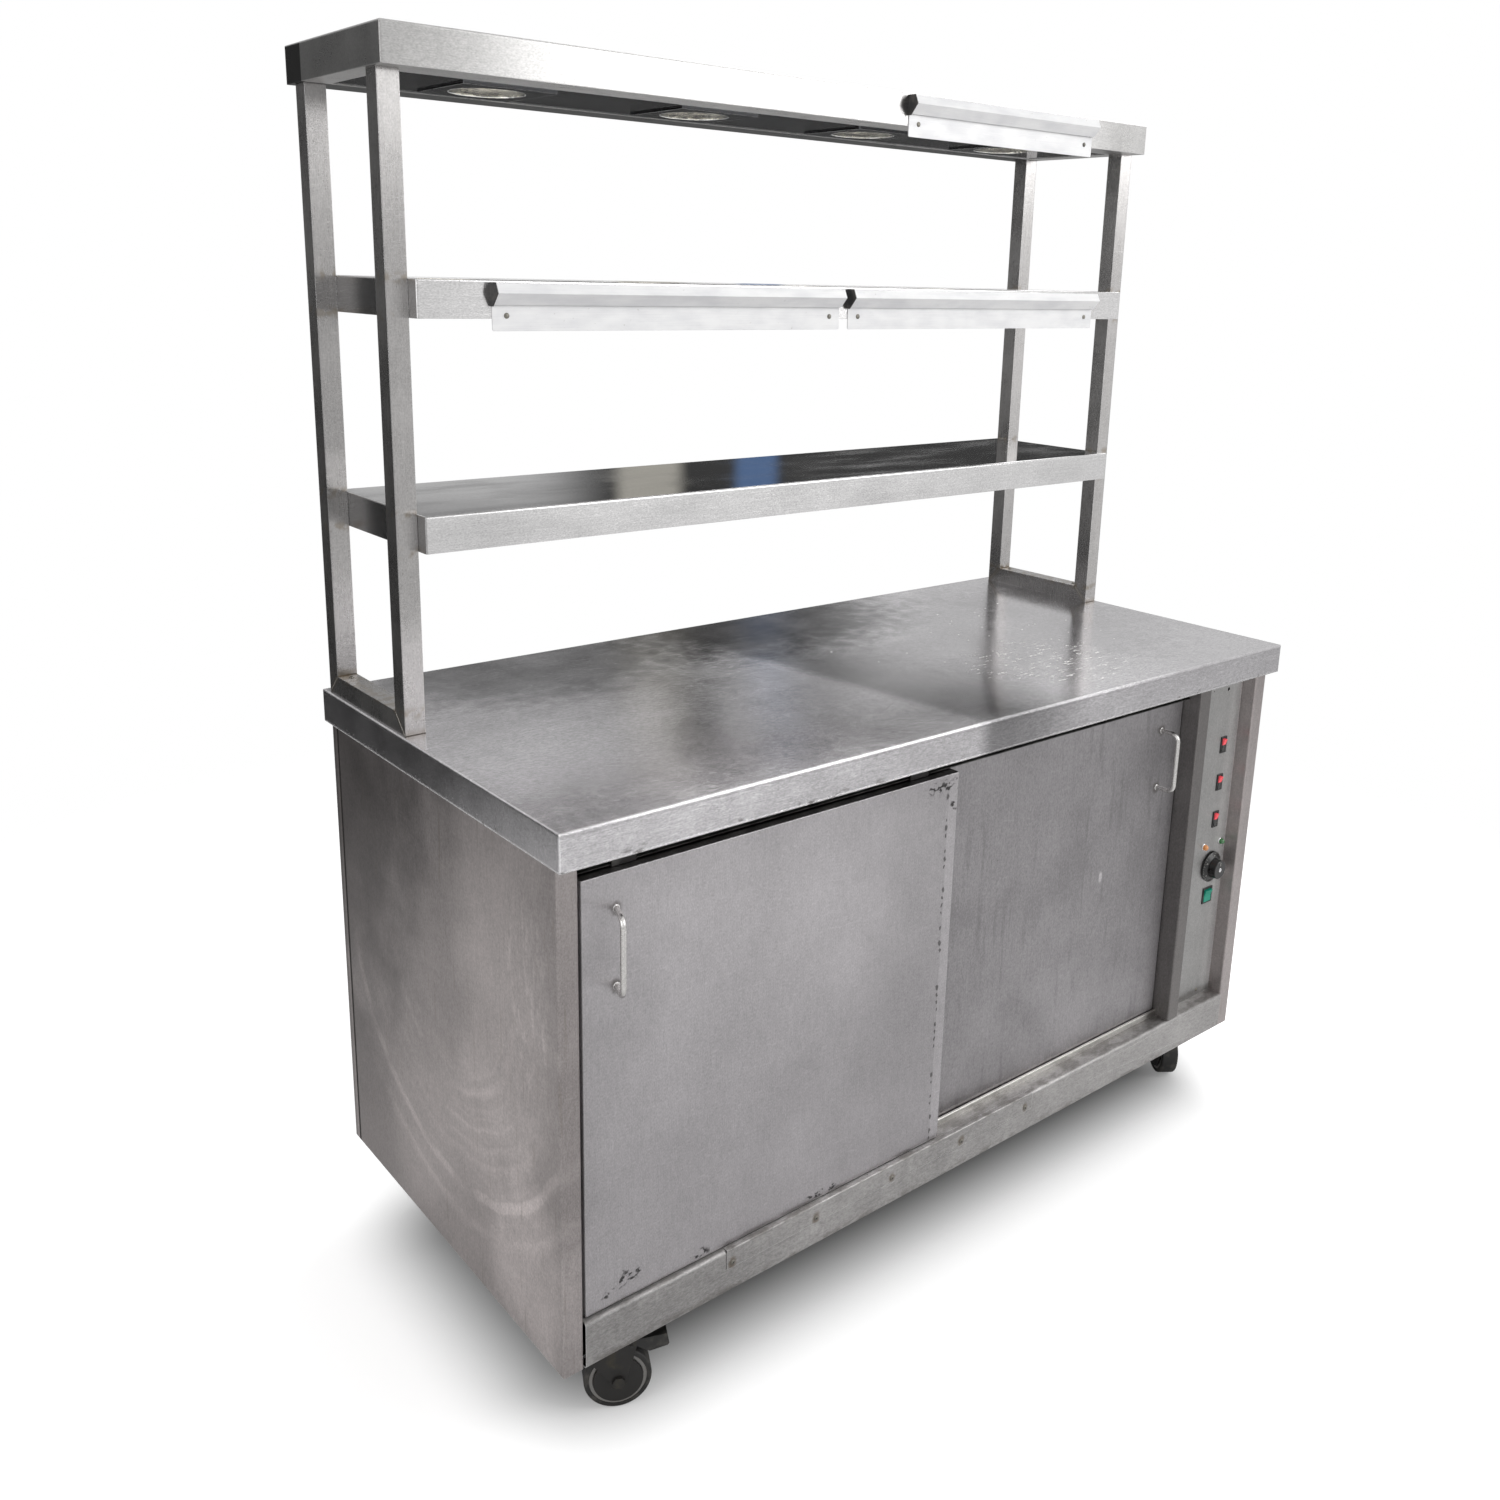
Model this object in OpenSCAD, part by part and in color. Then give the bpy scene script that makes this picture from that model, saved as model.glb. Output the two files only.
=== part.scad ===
// Mobile hot cupboard: a stainless steel cabinet with two sliding doors and a recessed control
// column, on four swivel castors, with a heated two shelf gantry standing on its worktop.
// Millimetres. The origin is on the floor at the middle of the plan, +X to the right of someone
// who faces the doors, -Y towards that person, +Z up.

/* [Worktop] */
// Length of the worktop
worktop_l = 1500; // [1400:10:1800]
// Depth of the worktop
worktop_d = 700; // [680:10:800]
// Height of the worktop above the floor
worktop_h = 895; // [860:5:950]
// Height of the turned down edge
fascia_h = 50; // [46:1:60]
// Sheet thickness of the worktop
top_sheet = 1.5; // [1.2:0.1:2]
// Outer radius of the folded edges
edge_r = 3; // [2.5:0.5:4]
// Width of the lip turned in under the edge
top_lip = 30; // [28:1:40]
// Depth of the stiffening channels under the worktop
stiffener_h = 25; // [15:1:35]
// Width of a stiffening channel
stiffener_w = 60; // [40:5:90]

/* [Cabinet] */
// Worktop overhang at each side
side_overhang = 6; // [2:1:15]
// Worktop overhang at the front
front_overhang = 20; // [15:1:30]
// Worktop overhang at the rear
rear_overhang = 15; // [5:1:30]
// Sheet thickness of the cabinet panels
panel_sheet = 1.2; // [1:0.1:1.5]
// Centre line radius of the panel bends
panel_bend = 2.4; // [1.5:0.1:3]
// Width of the upright stile at each front corner
stile_w = 30; // [25:1:40]
// Depth of the left stile's return
stile_return = 12; // [8:1:14]
// Width of the corner strips of the rear panel
corner_strip = 20; // [15:1:30]
// Width of the lips along the panel bottoms
panel_lip = 18; // [12:1:25]
// Height of the front rail below the sill
rail_h = 67; // [62:1:80]
// Centre line radius of the rail's top edge
rail_bend = 4.4; // [2:0.2:6]
// How far the front rail hangs below the side panels
rail_drop = 2; // [0:0.5:4]
// How far the front rail stands proud of the stiles
rail_proud = 1; // [0.5:0.5:2]
// Gap between the left stile and the end of the rail
rail_gap = 3; // [1:0.5:5]

/* [Control column] */
// Width of the recess that holds the controls
recess_w = 139; // [130:1:180]
// Depth of the recess
recess_d = 27; // [22:1:35]
// Width of the strip in front of the column
column_w = 30; // [25:1:40]
// Width of the ledges behind the control panel
ledge_w = 11; // [9:1:12]
// Distance of the row of controls from the right stile
control_inset = 43; // [40:1:60]
// Height of the top switch below the worktop surface
switch_drop = 188; // [150:1:220]
// Distance between one switch and the next
switch_pitch = 73; // [50:1:80]
// Height of a red switch
switch_h = 31; // [28:1:34]
// Width of a red switch
switch_w = 17; // [15:1:19]
// Width of the main switch
main_switch_w = 29; // [25:1:32]
// Height of the pilot lamps below the worktop surface
pilot_drop = 384; // [380:1:386]
// Distance between the two pilot lamps
pilot_pitch = 52; // [46:1:60]
// Radius of a pilot lamp's bezel
pilot_r = 6.5; // [5.5:0.5:8]
// Height of the thermostat knob below the worktop surface
knob_drop = 429; // [427:1:432]
// Radius of the numbered skirt of the knob
skirt_r = 29; // [26:1:31]
// Radius of the grip of the knob
grip_r = 19; // [16:1:22]
// How far the knob stands out from the panel
knob_reach = 23; // [20:0.5:24]
// Height of the main switch below the worktop surface
main_drop = 487; // [484:1:520]
// Radius of the thermostat shaft
shaft_r = 3; // [2.5:0.5:4]

/* [Doors] */
// Thickness of a door
door_t = 20; // [19:0.5:21]
// Sheet thickness of the door skins
door_sheet = 1; // [0.8:0.1:1.2]
// Gap between the front door and the rear door
door_gap = 8; // [7.5:0.5:9]
// Setback of the front door behind the stiles
door_setback = 7; // [6:0.5:9]
// Gap between the sill and the doors
door_foot = 3; // [2:0.5:4]
// Distance from the underside of the worktop lip to the doors
door_head = 30; // [29:1:32]
// Width by which the closed doors overlap
door_overlap = 51; // [30:1:80]
// Gap at the outer edge of the left door
left_gap = 8; // [3:1:12]
// Gap at the outer edge of the right door
right_gap = 2; // [1:0.5:4]
// Distance between the feet of a handle
handle_span = 105; // [90:1:130]
// Distance from the door to the middle of the handle's bar
handle_reach = 35; // [28:1:40]
// Diameter of the handle's bar
handle_bar = 8; // [6:0.5:10]
// Distance of the left handle from its door's edge
left_handle_inset = 49; // [35:1:70]
// Distance of the right handle from its door's edge
right_handle_inset = 57; // [35:1:70]
// Distance from the door's top to the middle of the handle
handle_drop = 100; // [80:1:200]
// Angle by which use has bent the left handle to the left
handle_lean = 18; // [0:1:25]
// Radius of the door rollers
roller_r = 10; // [9:0.5:10.5]
// Width of the door rollers
roller_w = 6; // [5:0.5:6.5]
// Distance of each roller from its door's edge
roller_inset = 70; // [40:1:120]
// Height of the foot guide between the doors
guide_h = 11; // [8:1:14]

/* [Guard strip] */
// Left end of the guard strip, from the middle of the cabinet
guard_left = 482; // [400:1:560]
// Right end of the guard strip, from the middle of the cabinet
guard_right = 163; // [100:1:260]
// Height of the strip's front leg
guard_h = 30; // [26:1:40]
// Depth of the strip's top leg
guard_top = 8; // [7:0.5:8]
// Height of the screws below the sill
guard_screw_drop = 21; // [16:1:23]

/* [Inside] */
// Height of the inner shelf above the sill
inner_shelf_rise = 300; // [240:5:340]
// Depth of the inner shelf's folded edges
inner_shelf_edge = 20; // [15:1:30]
// Distance of the inner shelf behind the rear door
inner_shelf_setback = 25; // [15:1:60]
// Radius of the heating element's rod
element_r = 4.25; // [3.5:0.25:5.5]
// Height of the heating element above the sill
element_rise = 26; // [20:1:40]
// Length of the heating element inside the cupboard
element_l = 980; // [700:10:1100]
// Distance between the two runs of the element
element_span = 240; // [160:10:320]

/* [Gantry] */
// Outer size of the square tube
tube = 30; // [25:1:40]
// Wall of the square tube
tube_wall = 1.5; // [1.2:0.1:2]
// Distance of the posts from the worktop's ends
post_inset = 5; // [3:1:15]
// Distance of the rear posts from the worktop's rear edge
post_rear_inset = 21; // [15:1:30]
// Depth of an end frame
frame_d = 261; // [240:1:300]
// Height of the lower shelf's top above the worktop
lower_shelf_h = 305; // [290:1:330]
// Height of the middle shelf's top above the worktop
middle_shelf_h = 610; // [580:1:640]
// Height of the canopy's top above the worktop
canopy_h = 910; // [880:1:960]
// Thickness of the shelves and the canopy
shelf_t = 50; // [46:1:55]
// Sheet thickness of the shelves and the canopy
shelf_sheet = 1.2; // [1:0.1:1.5]
// How far the shelves reach out in front of the posts
shelf_reach = 24; // [15:1:26]
// Width of the shelf lips
shelf_lip = 15; // [10:1:20]
// Depth of the canopy
canopy_d = 308; // [300:1:330]
// Width of the canopy's front and rear lips
canopy_lip = 58; // [54:1:60]
// Width of the canopy's end lips
canopy_end_lip = 38; // [36:1:60]

/* [Heat lamps] */
// Distance between one lamp and the next
lamp_pitch = 352; // [300:1:370]
// Side of a lamp's square bezel
bezel_side = 142; // [130:1:150]
// Thickness of a lamp's bezel
bezel_t = 3; // [2:0.5:4]
// Radius of a lamp's glass
glass_r = 52; // [46:1:54]
// Depth of a lamp's reflector
dish_h = 38; // [30:1:41]

/* [Ticket rails] */
// Length of the short ticket rail
short_rail_l = 457; // [400:1:500]
// Length of the long ticket rails
long_rail_l = 610; // [560:1:612]
// Height of a ticket rail
ticket_h = 62; // [56:1:68]
// Height of a ticket rail's body above its flange
ticket_body_h = 28; // [24:1:30]
// How far the body stands out
ticket_d = 20; // [17:0.5:22]
// Wall of the rail
ticket_wall = 1.6; // [1.4:0.1:1.8]
// Distance of a rail's top below the edge it is fixed to
ticket_drop = 4; // [2:1:5]
// Thickness of the cover at a rail's left end
cap_t = 1.5; // [1:0.25:3]
// Left end of the short rail, from the middle
short_rail_x = 133; // [100:1:160]
// Gap between the two long rails
long_rail_gap = 19; // [16:1:24]

/* [Castors] */
// Height of the cabinet's underside above the floor
castor_h = 131; // [129:1:142]
// Radius of a wheel
wheel_r = 47; // [45:0.5:48]
// Width of a wheel
wheel_w = 32; // [28:1:34]
// Radius of the pale ring of the wheel's rim
rim_r = 40; // [38:0.5:41]
// Radius of the dark guard disc inside the ring
guard_disc_r = 34.5; // [30:0.5:36]
// Radius of the wheel's axle
axle_r = 6; // [5:0.5:7]
// Distance of the axle behind the swivel axis
castor_trail = 36; // [30:1:40]
// Distance of a swivel axis from the cabinet's side
castor_inset_x = 80; // [80:1:110]
// Distance of a swivel axis from the cabinet's front or rear
castor_inset_y = 66; // [65:1:110]
// Length of the castor's plate
plate_l = 100; // [90:1:110]
// Width of the castor's plate
plate_w = 85; // [80:1:95]

/* [Hidden] */

$fn = 48;

// Colours as the object shows them
steel = "#9d9d9e";
dull_steel = "#77787a";
pale_metal = "#e6e7e8";
black_plastic = "#1b1b1d";
grey_plastic = "#8a8a8c";

// Clearances
seat = 0.3;
running = 0.05;
over = 1;

// Planes of the cabinet. The left handle stands out in front of the worktop, so the plan is
// moved back by half of what it stands out, and the origin stays in the middle.
handle_out = handle_reach * cos(handle_lean) + handle_bar / 2 - front_overhang - door_setback;
straight_out = handle_reach + handle_bar / 2 - front_overhang - door_setback - door_t - door_gap;
plan_shift = max(0, handle_out, straight_out) / 2;
front_edge = -worktop_d / 2 + plan_shift;
rear_edge = worktop_d / 2 + plan_shift;
cab_front = front_edge + front_overhang;
cab_rear = rear_edge - rear_overhang;
cab_half = worktop_l / 2 - side_overhang;
cab_bottom = castor_h;
cab_top = worktop_h - fascia_h;
sill = cab_bottom + rail_h;
half_sheet = panel_sheet / 2;
rail_face = cab_front - rail_proud;

// Openings between the stiles, the column and the panel
open_left = -cab_half + stile_w;
recess_right = cab_half - stile_w;
recess_left = recess_right - recess_w;
column_x = recess_left - column_w;
panel_face = cab_front + recess_d;
panel_back = panel_face + panel_sheet;
control_x = recess_right - control_inset;

// Doors
door_pitch = door_t + door_gap;
left_door_y = cab_front + door_setback;
right_door_y = left_door_y + door_pitch;
door_bottom = sill + door_foot;
door_top = cab_top - door_head;
door_h = door_top - door_bottom;
left_door_x = open_left + left_gap;
right_door_end = column_x - right_gap;
door_w = (right_door_end - left_door_x + door_overlap) / 2;
right_door_x = right_door_end - door_w;
left_handle_x = left_door_x + left_handle_inset;
right_handle_x = right_door_end - right_handle_inset;
handle_z = door_top - handle_drop;
handle_foot_r = handle_bar / 2 + 1.2;
handle_foot_t = 1.5;
handle_bend = 14;
door_travel = right_handle_x - handle_foot_r - (left_door_x + door_w) - 3;

// Door track: a top web with a leg behind each door, and a ledge on each leg for the rollers.
// Depths are counted from the front of the web.
track_sheet = 1.2;
track_bottom = door_top + 2;
track_lead = 2;
track_front = left_door_y - track_lead;
ledge_depth = 11;
ledge_top = track_bottom + track_sheet;
roller_z = ledge_top + roller_r + seat;
roller_y = door_pitch - 2.2 - roller_w;
roller_pin_r = 4;
tab_y = door_pitch + track_sheet - ledge_depth - 2.2;
tab_w = 36;

// Gantry
gantry_rear = rear_edge - post_rear_inset;
gantry_front = gantry_rear - frame_d;
frame_outer = worktop_l / 2 - post_inset;
frame_inner = frame_outer - tube;
canopy_bottom = worktop_h + canopy_h - shelf_t;
post_h = canopy_bottom - worktop_h;
shelf_l = 2 * (frame_inner - seat);
shelf_front = gantry_front - shelf_reach;
shelf_d = gantry_rear - shelf_front;
canopy_front = rear_edge - canopy_d;
canopy_y = rear_edge - canopy_d / 2;
lamp_xs = [for (i = [-1.5 : 1 : 1.5]) i * lamp_pitch];
tray_z = canopy_bottom + shelf_sheet;
bezel_z = tray_z - bezel_t;
tray_hole_r = glass_r + 5;

// Ticket rails: left end, length, face they hang on, and height of the top of the flange's foot
ticket_seat = 0.01;
canopy_rail_y = canopy_front - ticket_seat;
shelf_rail_y = shelf_front - ticket_seat;
rail_places = [
    [short_rail_x, short_rail_l, canopy_rail_y, worktop_h + canopy_h - ticket_drop - ticket_h],
    [-long_rail_l, long_rail_l, shelf_rail_y, worktop_h + middle_shelf_h - ticket_drop - ticket_h],
    [long_rail_gap, long_rail_l, shelf_rail_y, worktop_h + middle_shelf_h - ticket_drop - ticket_h]];
ticket_screw_inset = 21;
ticket_screw_rise = 20;
ticket_corner_r = 3;
ticket_plug_l = 8;

// Screws
screw_r = 2;
screw_hole_r = 2.15;
screw_head_r = 3.8;
screw_head_t = 2;
guard_screw_xs = [for (i = [0 : 4])
    -guard_left + 10 + i * (guard_left + guard_right - 28) / 4];
guard_screw_z = sill - guard_screw_drop;
panel_screw_z = sill + 12;
empty_hole_r = 3.5;
empty_hole_drop = 82;
small_hole_r = 1.5;
small_hole_offset = 46;
frame_screw_inset = 45;

// Controls
switch_zs = [for (i = [0 : 2]) worktop_h - switch_drop - i * switch_pitch];
main_z = worktop_h - main_drop;
pilot_z = worktop_h - pilot_drop;
knob_z = worktop_h - knob_drop;
bezel_rim = 2.2;
switch_bezel_t = 2;
switch_body_d = 22;
rocker_gap = 0.45;
rocker_tilt = 8;
rocker_pin_r = 1.2;
rocker_pin_l = 1.1;
rocker_pivot_y = 2;
bush_r = 5;
thermostat_side = 46;
thermostat_d = 26;
pilot_body_r = 4.6;
pilot_body_d = 16;

// Castors: name, swivel axis and the direction in which the wheel trails
castor_x = cab_half - castor_inset_x;
castor_front_y = cab_front + castor_inset_y;
castor_rear_y = cab_rear - castor_inset_y;
plate_t = 3;
crown_z = castor_h - 21;
crown_t = 3;
head_top = castor_h - plate_t - 7;
head_r = 24;
kingpin_r = 6;
leg_t = 3;
leg_y = wheel_w / 2 + 2.5;
axle_end = 4;
pedal_x = castor_trail + 18;
pedal_z = 2 * wheel_r + 7;
pedal_side = [[-2, 0], [8, -6], [26, -16.5], [51, -11], [53, -8], [50, 8], [0, 4]];
shoe_h = 10.3;
pedal_pin_r = 2.5;
pedal_barrel_r = 4.5;
castors = [[-castor_x, castor_front_y, -26], [castor_x, castor_front_y, 54],
    [-castor_x, castor_rear_y, -28], [castor_x, castor_rear_y, 168]];
bolt_x = plate_l / 2 - 12;
bolt_y = plate_w / 2 - 12;

// Inside of the cupboard
inner_shelf_z = sill + inner_shelf_rise;
inner_shelf_front = right_door_y + door_t + inner_shelf_setback;
inner_left = -cab_half + panel_sheet;
inner_rear = cab_rear - panel_sheet;
bracket_leg = 20;
bracket_sheet = 1.5;
element_y = (inner_shelf_front + inner_rear) / 2;
element_end = column_x + 34;
element_z = sill + element_rise;
element_hole_r = element_r + seat;
clip_w = 18;

// Cable gland
gland_x = (recess_left + recess_right) / 2;
gland_z = sill + 40;
gland_hole_r = 8.2;
gland_bore_r = 5;

// General shapes

// Extrudes a section, drawn as depth and height, from x0 to x1
module along_x(x0, x1) {
    translate([x0, 0, 0]) rotate([90, 0, 90]) linear_extrude(x1 - x0) children();
}

// Extrudes a section, drawn as width and height, from y0 to y1
module along_y(y0, y1) {
    translate([0, y1, 0]) rotate([90, 0, 0]) linear_extrude(y1 - y0) children();
}

// Extrudes a section, drawn in plan, from z0 to z1
module along_z(z0, z1) {
    translate([0, 0, z0]) linear_extrude(z1 - z0) children();
}

// A box from its low corner to its high corner
module block(low, high) {
    translate(low) cube(high - low);
}

// A round bar along Y that starts at y0
module bar_y(x, z, r, y0, y1) {
    translate([x, y0, z]) rotate([-90, 0, 0]) cylinder(r = r, h = y1 - y0);
}

// Section of a folded sheet: a centre line of square turns, with round bends
module folded_section(path, sheet, bend) {
    last = len(path) - 1;
    outer = bend + sheet / 2;
    for (i = [0 : last - 1]) {
        step = path[i + 1] - path[i];
        run = norm(step);
        start = i == 0 ? 0 : bend;
        stop = i == last - 1 ? run : run - bend;
        translate(path[i] + step / run * start)
            rotate(atan2(step.y, step.x))
                translate([0, -sheet / 2]) square([stop - start, sheet]);
    }
    for (i = [1 : last - 1]) {
        into = (path[i] - path[i - 1]) / norm(path[i] - path[i - 1]);
        away = (path[i + 1] - path[i]) / norm(path[i + 1] - path[i]);
        corner = into - away;
        translate(path[i] - corner * bend)
            intersection() {
                difference() {
                    circle(outer);
                    circle(bend - sheet / 2);
                }
                translate([min(0, corner.x) * outer, min(0, corner.y) * outer]) square(outer);
            }
    }
}

// Rectangle with round corners, centred
module rounded_plan(l, d, r) {
    square([l, d - 2 * r], center = true);
    square([l - 2 * r, d], center = true);
    for (x = [-1, 1], y = [-1, 1])
        translate([x * (l / 2 - r), y * (d / 2 - r)]) circle(r);
}

// Upright rectangle with round upper corners, on its base line
module arched_section(w, h, r) {
    translate([-w / 2, 0]) square([w, h - r]);
    translate([-w / 2 + r, 0]) square([w - 2 * r, h]);
    for (x = [-1, 1])
        translate([x * (w / 2 - r), h - r]) circle(r);
}

// Block with round upper edges and round upright corners
module soft_block(l, d, h, r) {
    intersection() {
        linear_extrude(h) rounded_plan(l, d, r);
        along_x(-l / 2, l / 2) arched_section(d, h, r);
        along_y(-d / 2, d / 2) arched_section(l, h, r);
    }
}

// Sheet folded down on four sides, with lips turned in along the bottom
module folded_lid(l, d, h, sheet, r, lip, end_lip) {
    difference() {
        soft_block(l, d, h, r);
        translate([0, 0, sheet])
            soft_block(l - 2 * sheet, d - 2 * sheet, h - 2 * sheet, r - sheet);
        translate([0, 0, sheet / 2])
            cube([l - 2 * end_lip, d - 2 * lip, 2 * sheet], center = true);
    }
}

// Domed screw with its head's seat at the origin, driven along -Z
module screw(shank) {
    rotate_extrude() {
        intersection() {
            translate([0, screw_head_t - screw_head_r * 1.6]) circle(screw_head_r * 1.6);
            square([screw_head_r, screw_head_t]);
        }
        translate([0, -shank]) square([screw_r, shank]);
    }
}

// Worktop

module worktop() {
    color(steel)
        difference() {
            translate([0, plan_shift, cab_top])
                folded_lid(worktop_l, worktop_d, fascia_h, top_sheet, edge_r, top_lip, top_lip);
            for (side = [-1, 1], y = frame_screw_ys())
                translate([side * (frame_outer - tube / 2), y, worktop_h - 2 * top_sheet])
                    cylinder(r = screw_hole_r, h = 4 * top_sheet);
        }
}

function frame_screw_ys() = [gantry_front + frame_screw_inset, gantry_rear - frame_screw_inset];

module worktop_stiffeners() {
    half = stiffener_w / 2;
    flange = worktop_h - top_sheet - half_sheet;
    color(dull_steel)
        for (x = [-1, 0, 1])
            translate([x * worktop_l / 3.2, 0, 0])
                along_y(front_edge + 2 * top_sheet, rear_edge - 2 * top_sheet)
                    folded_section([[-half - 16, flange], [-half, flange],
                        [-half, flange - stiffener_h], [half, flange - stiffener_h],
                        [half, flange], [half + 16, flange]], panel_sheet, panel_bend);
}

// Cabinet

// Side sheet for the left, with its front stile, the stile's return and the bottom lip.
// The folds listed in extra follow the stile above the sill.
module side_sheet(extra) {
    outer = -cab_half + half_sheet;
    stile = cab_front + half_sheet;
    inner = open_left - half_sheet;
    rear = cab_rear - corner_strip - seat;
    start = [[outer, rear], [outer, stile], [inner, stile]];
    along_z(cab_bottom, sill)
        folded_section(concat(start, [[inner, cab_front + stile_return]]), panel_sheet, panel_bend);
    along_z(sill, cab_top)
        folded_section(concat(start, extra), panel_sheet, panel_bend);
    block([-cab_half + half_sheet, cab_front + stile_return + over, cab_bottom],
        [-cab_half + panel_lip, rear, cab_bottom + panel_sheet]);
}

module left_side_panel() {
    color(steel)
        side_sheet([[open_left - half_sheet, cab_front + stile_return]]);
}

module right_side_panel() {
    inner = open_left - half_sheet;
    back = panel_back + half_sheet;
    color(steel)
        mirror([1, 0, 0]) side_sheet([[inner, back], [inner + ledge_w, back]]);
}

module rear_panel() {
    x = cab_half - half_sheet;
    y = cab_rear - half_sheet;
    color(steel)
        difference() {
            union() {
                along_z(cab_bottom, cab_top)
                    folded_section([[-x, cab_rear - corner_strip], [-x, y], [x, y],
                        [x, cab_rear - corner_strip]], panel_sheet, panel_bend);
                block([-cab_half + panel_lip + 2, cab_rear - panel_lip, cab_bottom],
                    [cab_half - panel_lip - 2, cab_rear - half_sheet, cab_bottom + panel_sheet]);
            }
            bar_y(gland_x, gland_z, gland_hole_r, cab_rear - 2 * panel_sheet, cab_rear + over);
        }
}

// Floor of the cupboard, folded down in front as the rail and behind as a stiffening edge
module cupboard_floor() {
    y_rail = rail_face + half_sheet;
    y_rear = inner_rear - seat - half_sheet;
    z_floor = sill - half_sheet;
    z_rail = cab_bottom - rail_drop + half_sheet;
    wide = cab_half - panel_sheet - seat;
    color(steel)
        difference() {
            union() {
                along_x(open_left + rail_gap, recess_right)
                    folded_section([[rail_face + panel_lip, z_rail], [y_rail, z_rail],
                        [y_rail, z_floor], [y_rear, z_floor], [y_rear, z_floor - panel_lip]],
                        panel_sheet, rail_bend);
                block([-wide, panel_back + panel_sheet + 2, sill - panel_sheet],
                    [wide, inner_rear - seat - 2 * rail_bend, sill]);
            }
            for (x = guard_screw_xs)
                bar_y(x, guard_screw_z, screw_hole_r, rail_face - over, rail_face + 2 * panel_sheet);
        }
}

// Two cross bearers for the castors, joined by a front and a rear channel
module base_frame() {
    web = cab_bottom + half_sheet;
    top = sill - panel_sheet - half_sheet;
    half = plate_l / 2 + 4;
    front = rail_face + panel_lip + 2;
    rear = cab_rear - panel_lip - 2;
    inner = castor_x - half - half_sheet - seat;
    color(dull_steel)
        difference() {
            union() {
                for (side = [-1, 1])
                    translate([side * castor_x, 0, 0])
                        along_y(front, rear)
                            folded_section([[-half + 12, top], [-half, top], [-half, web],
                                [half, web], [half, top], [half - 12, top]],
                                panel_sheet, panel_bend);
                for (y = [castor_front_y, castor_rear_y - bracket_leg])
                    along_x(-inner, inner)
                        translate([y, 0])
                            folded_section([[0, top], [0, web], [bracket_leg, web],
                                [bracket_leg, top]], panel_sheet, panel_bend);
            }
            for (castor = castors, x = [-1, 1], y = [-1, 1])
                translate([castor.x + x * bolt_x, castor.y + y * bolt_y, cab_bottom - over])
                    cylinder(r = 4.3, h = 2 * over + 2 * panel_sheet);
        }
}

// Partition beside the cupboard, folded round in front as the strip of the control column
module control_column() {
    wall = column_x + half_sheet;
    strip = cab_front + half_sheet;
    inner = recess_left - half_sheet;
    back = panel_back + half_sheet;
    color(steel)
        difference() {
            along_z(sill, cab_top)
                folded_section([[wall, inner_rear - seat], [wall, strip], [inner, strip],
                    [inner, back], [inner + ledge_w, back]], panel_sheet, panel_bend);
            for (side = [-1, 1])
                translate([column_x - over, element_y + side * element_span / 2, element_z])
                    rotate([0, 90, 0]) cylinder(r = element_hole_r, h = 4 * over);
        }
}

// Plate of the recess with the cut-outs for the switches, lamps and thermostat
module control_panel() {
    color(steel)
        difference() {
            block([recess_left + panel_bend, panel_face, sill],
                [recess_right - panel_bend, panel_back, cab_top]);
            for (z = switch_zs)
                cut_out(switch_w - 2 * bezel_rim, switch_h - 2 * bezel_rim, z);
            cut_out(main_switch_w - 2 * bezel_rim, switch_h - 2 * bezel_rim, main_z);
            for (side = [-1, 1])
                panel_hole(control_x + side * pilot_pitch / 2, pilot_z, pilot_body_r + 0.2);
            panel_hole(control_x, knob_z, bush_r + 0.2);
            panel_hole(control_x, worktop_h - empty_hole_drop, empty_hole_r);
            panel_hole(control_x - small_hole_offset, worktop_h - empty_hole_drop + 3, small_hole_r);
            panel_hole(control_x, panel_screw_z, screw_hole_r);
        }
}

module cut_out(w, h, z) {
    block([control_x - w / 2 - 0.1, panel_face - over, z - h / 2 - 0.1],
        [control_x + w / 2 + 0.1, panel_back + over, z + h / 2 + 0.1]);
}

module panel_hole(x, z, r) {
    bar_y(x, z, r, panel_face - over, panel_back + over);
}

// Twin track above the doors, open at the front, with a ledge under the rollers of each door
module door_track() {
    color(dull_steel)
        along_x(open_left + seat, column_x - seat) {
            for (i = [1, 2])
                translate([track_front + i * door_pitch, track_bottom])
                    square([track_sheet, cab_top - track_bottom]);
            for (i = [1, 2])
                translate([track_front + i * door_pitch + track_sheet - ledge_depth, track_bottom])
                    square([ledge_depth, track_sheet]);
            translate([track_front, cab_top - track_sheet])
                square([2 * door_pitch + track_sheet, track_sheet]);
        }
}

// Folded strip on the sill that keeps the feet of the two doors apart
module door_foot_guide() {
    side = door_gap / 2 - 1.5 - half_sheet;
    middle = right_door_y - door_gap / 2;
    color(dull_steel)
        along_x(open_left + rail_gap, column_x - seat)
            translate([middle, sill])
                folded_section([[-side, 0], [-side, guide_h - half_sheet],
                    [side, guide_h - half_sheet], [side, 0]], panel_sheet, half_sheet + 0.4);
}

// Angle screwed over the worn edge of the front rail
module guard_strip() {
    face = rail_face - half_sheet;
    color(steel)
        difference() {
            along_x(-guard_left, guard_right)
                folded_section([[face, sill + half_sheet - guard_h], [face, sill + half_sheet],
                    [rail_face + guard_top, sill + half_sheet]], panel_sheet, half_sheet + 0.6);
            for (x = guard_screw_xs)
                bar_y(x, guard_screw_z, screw_hole_r, rail_face - 3 * over, rail_face + over);
        }
}

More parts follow.
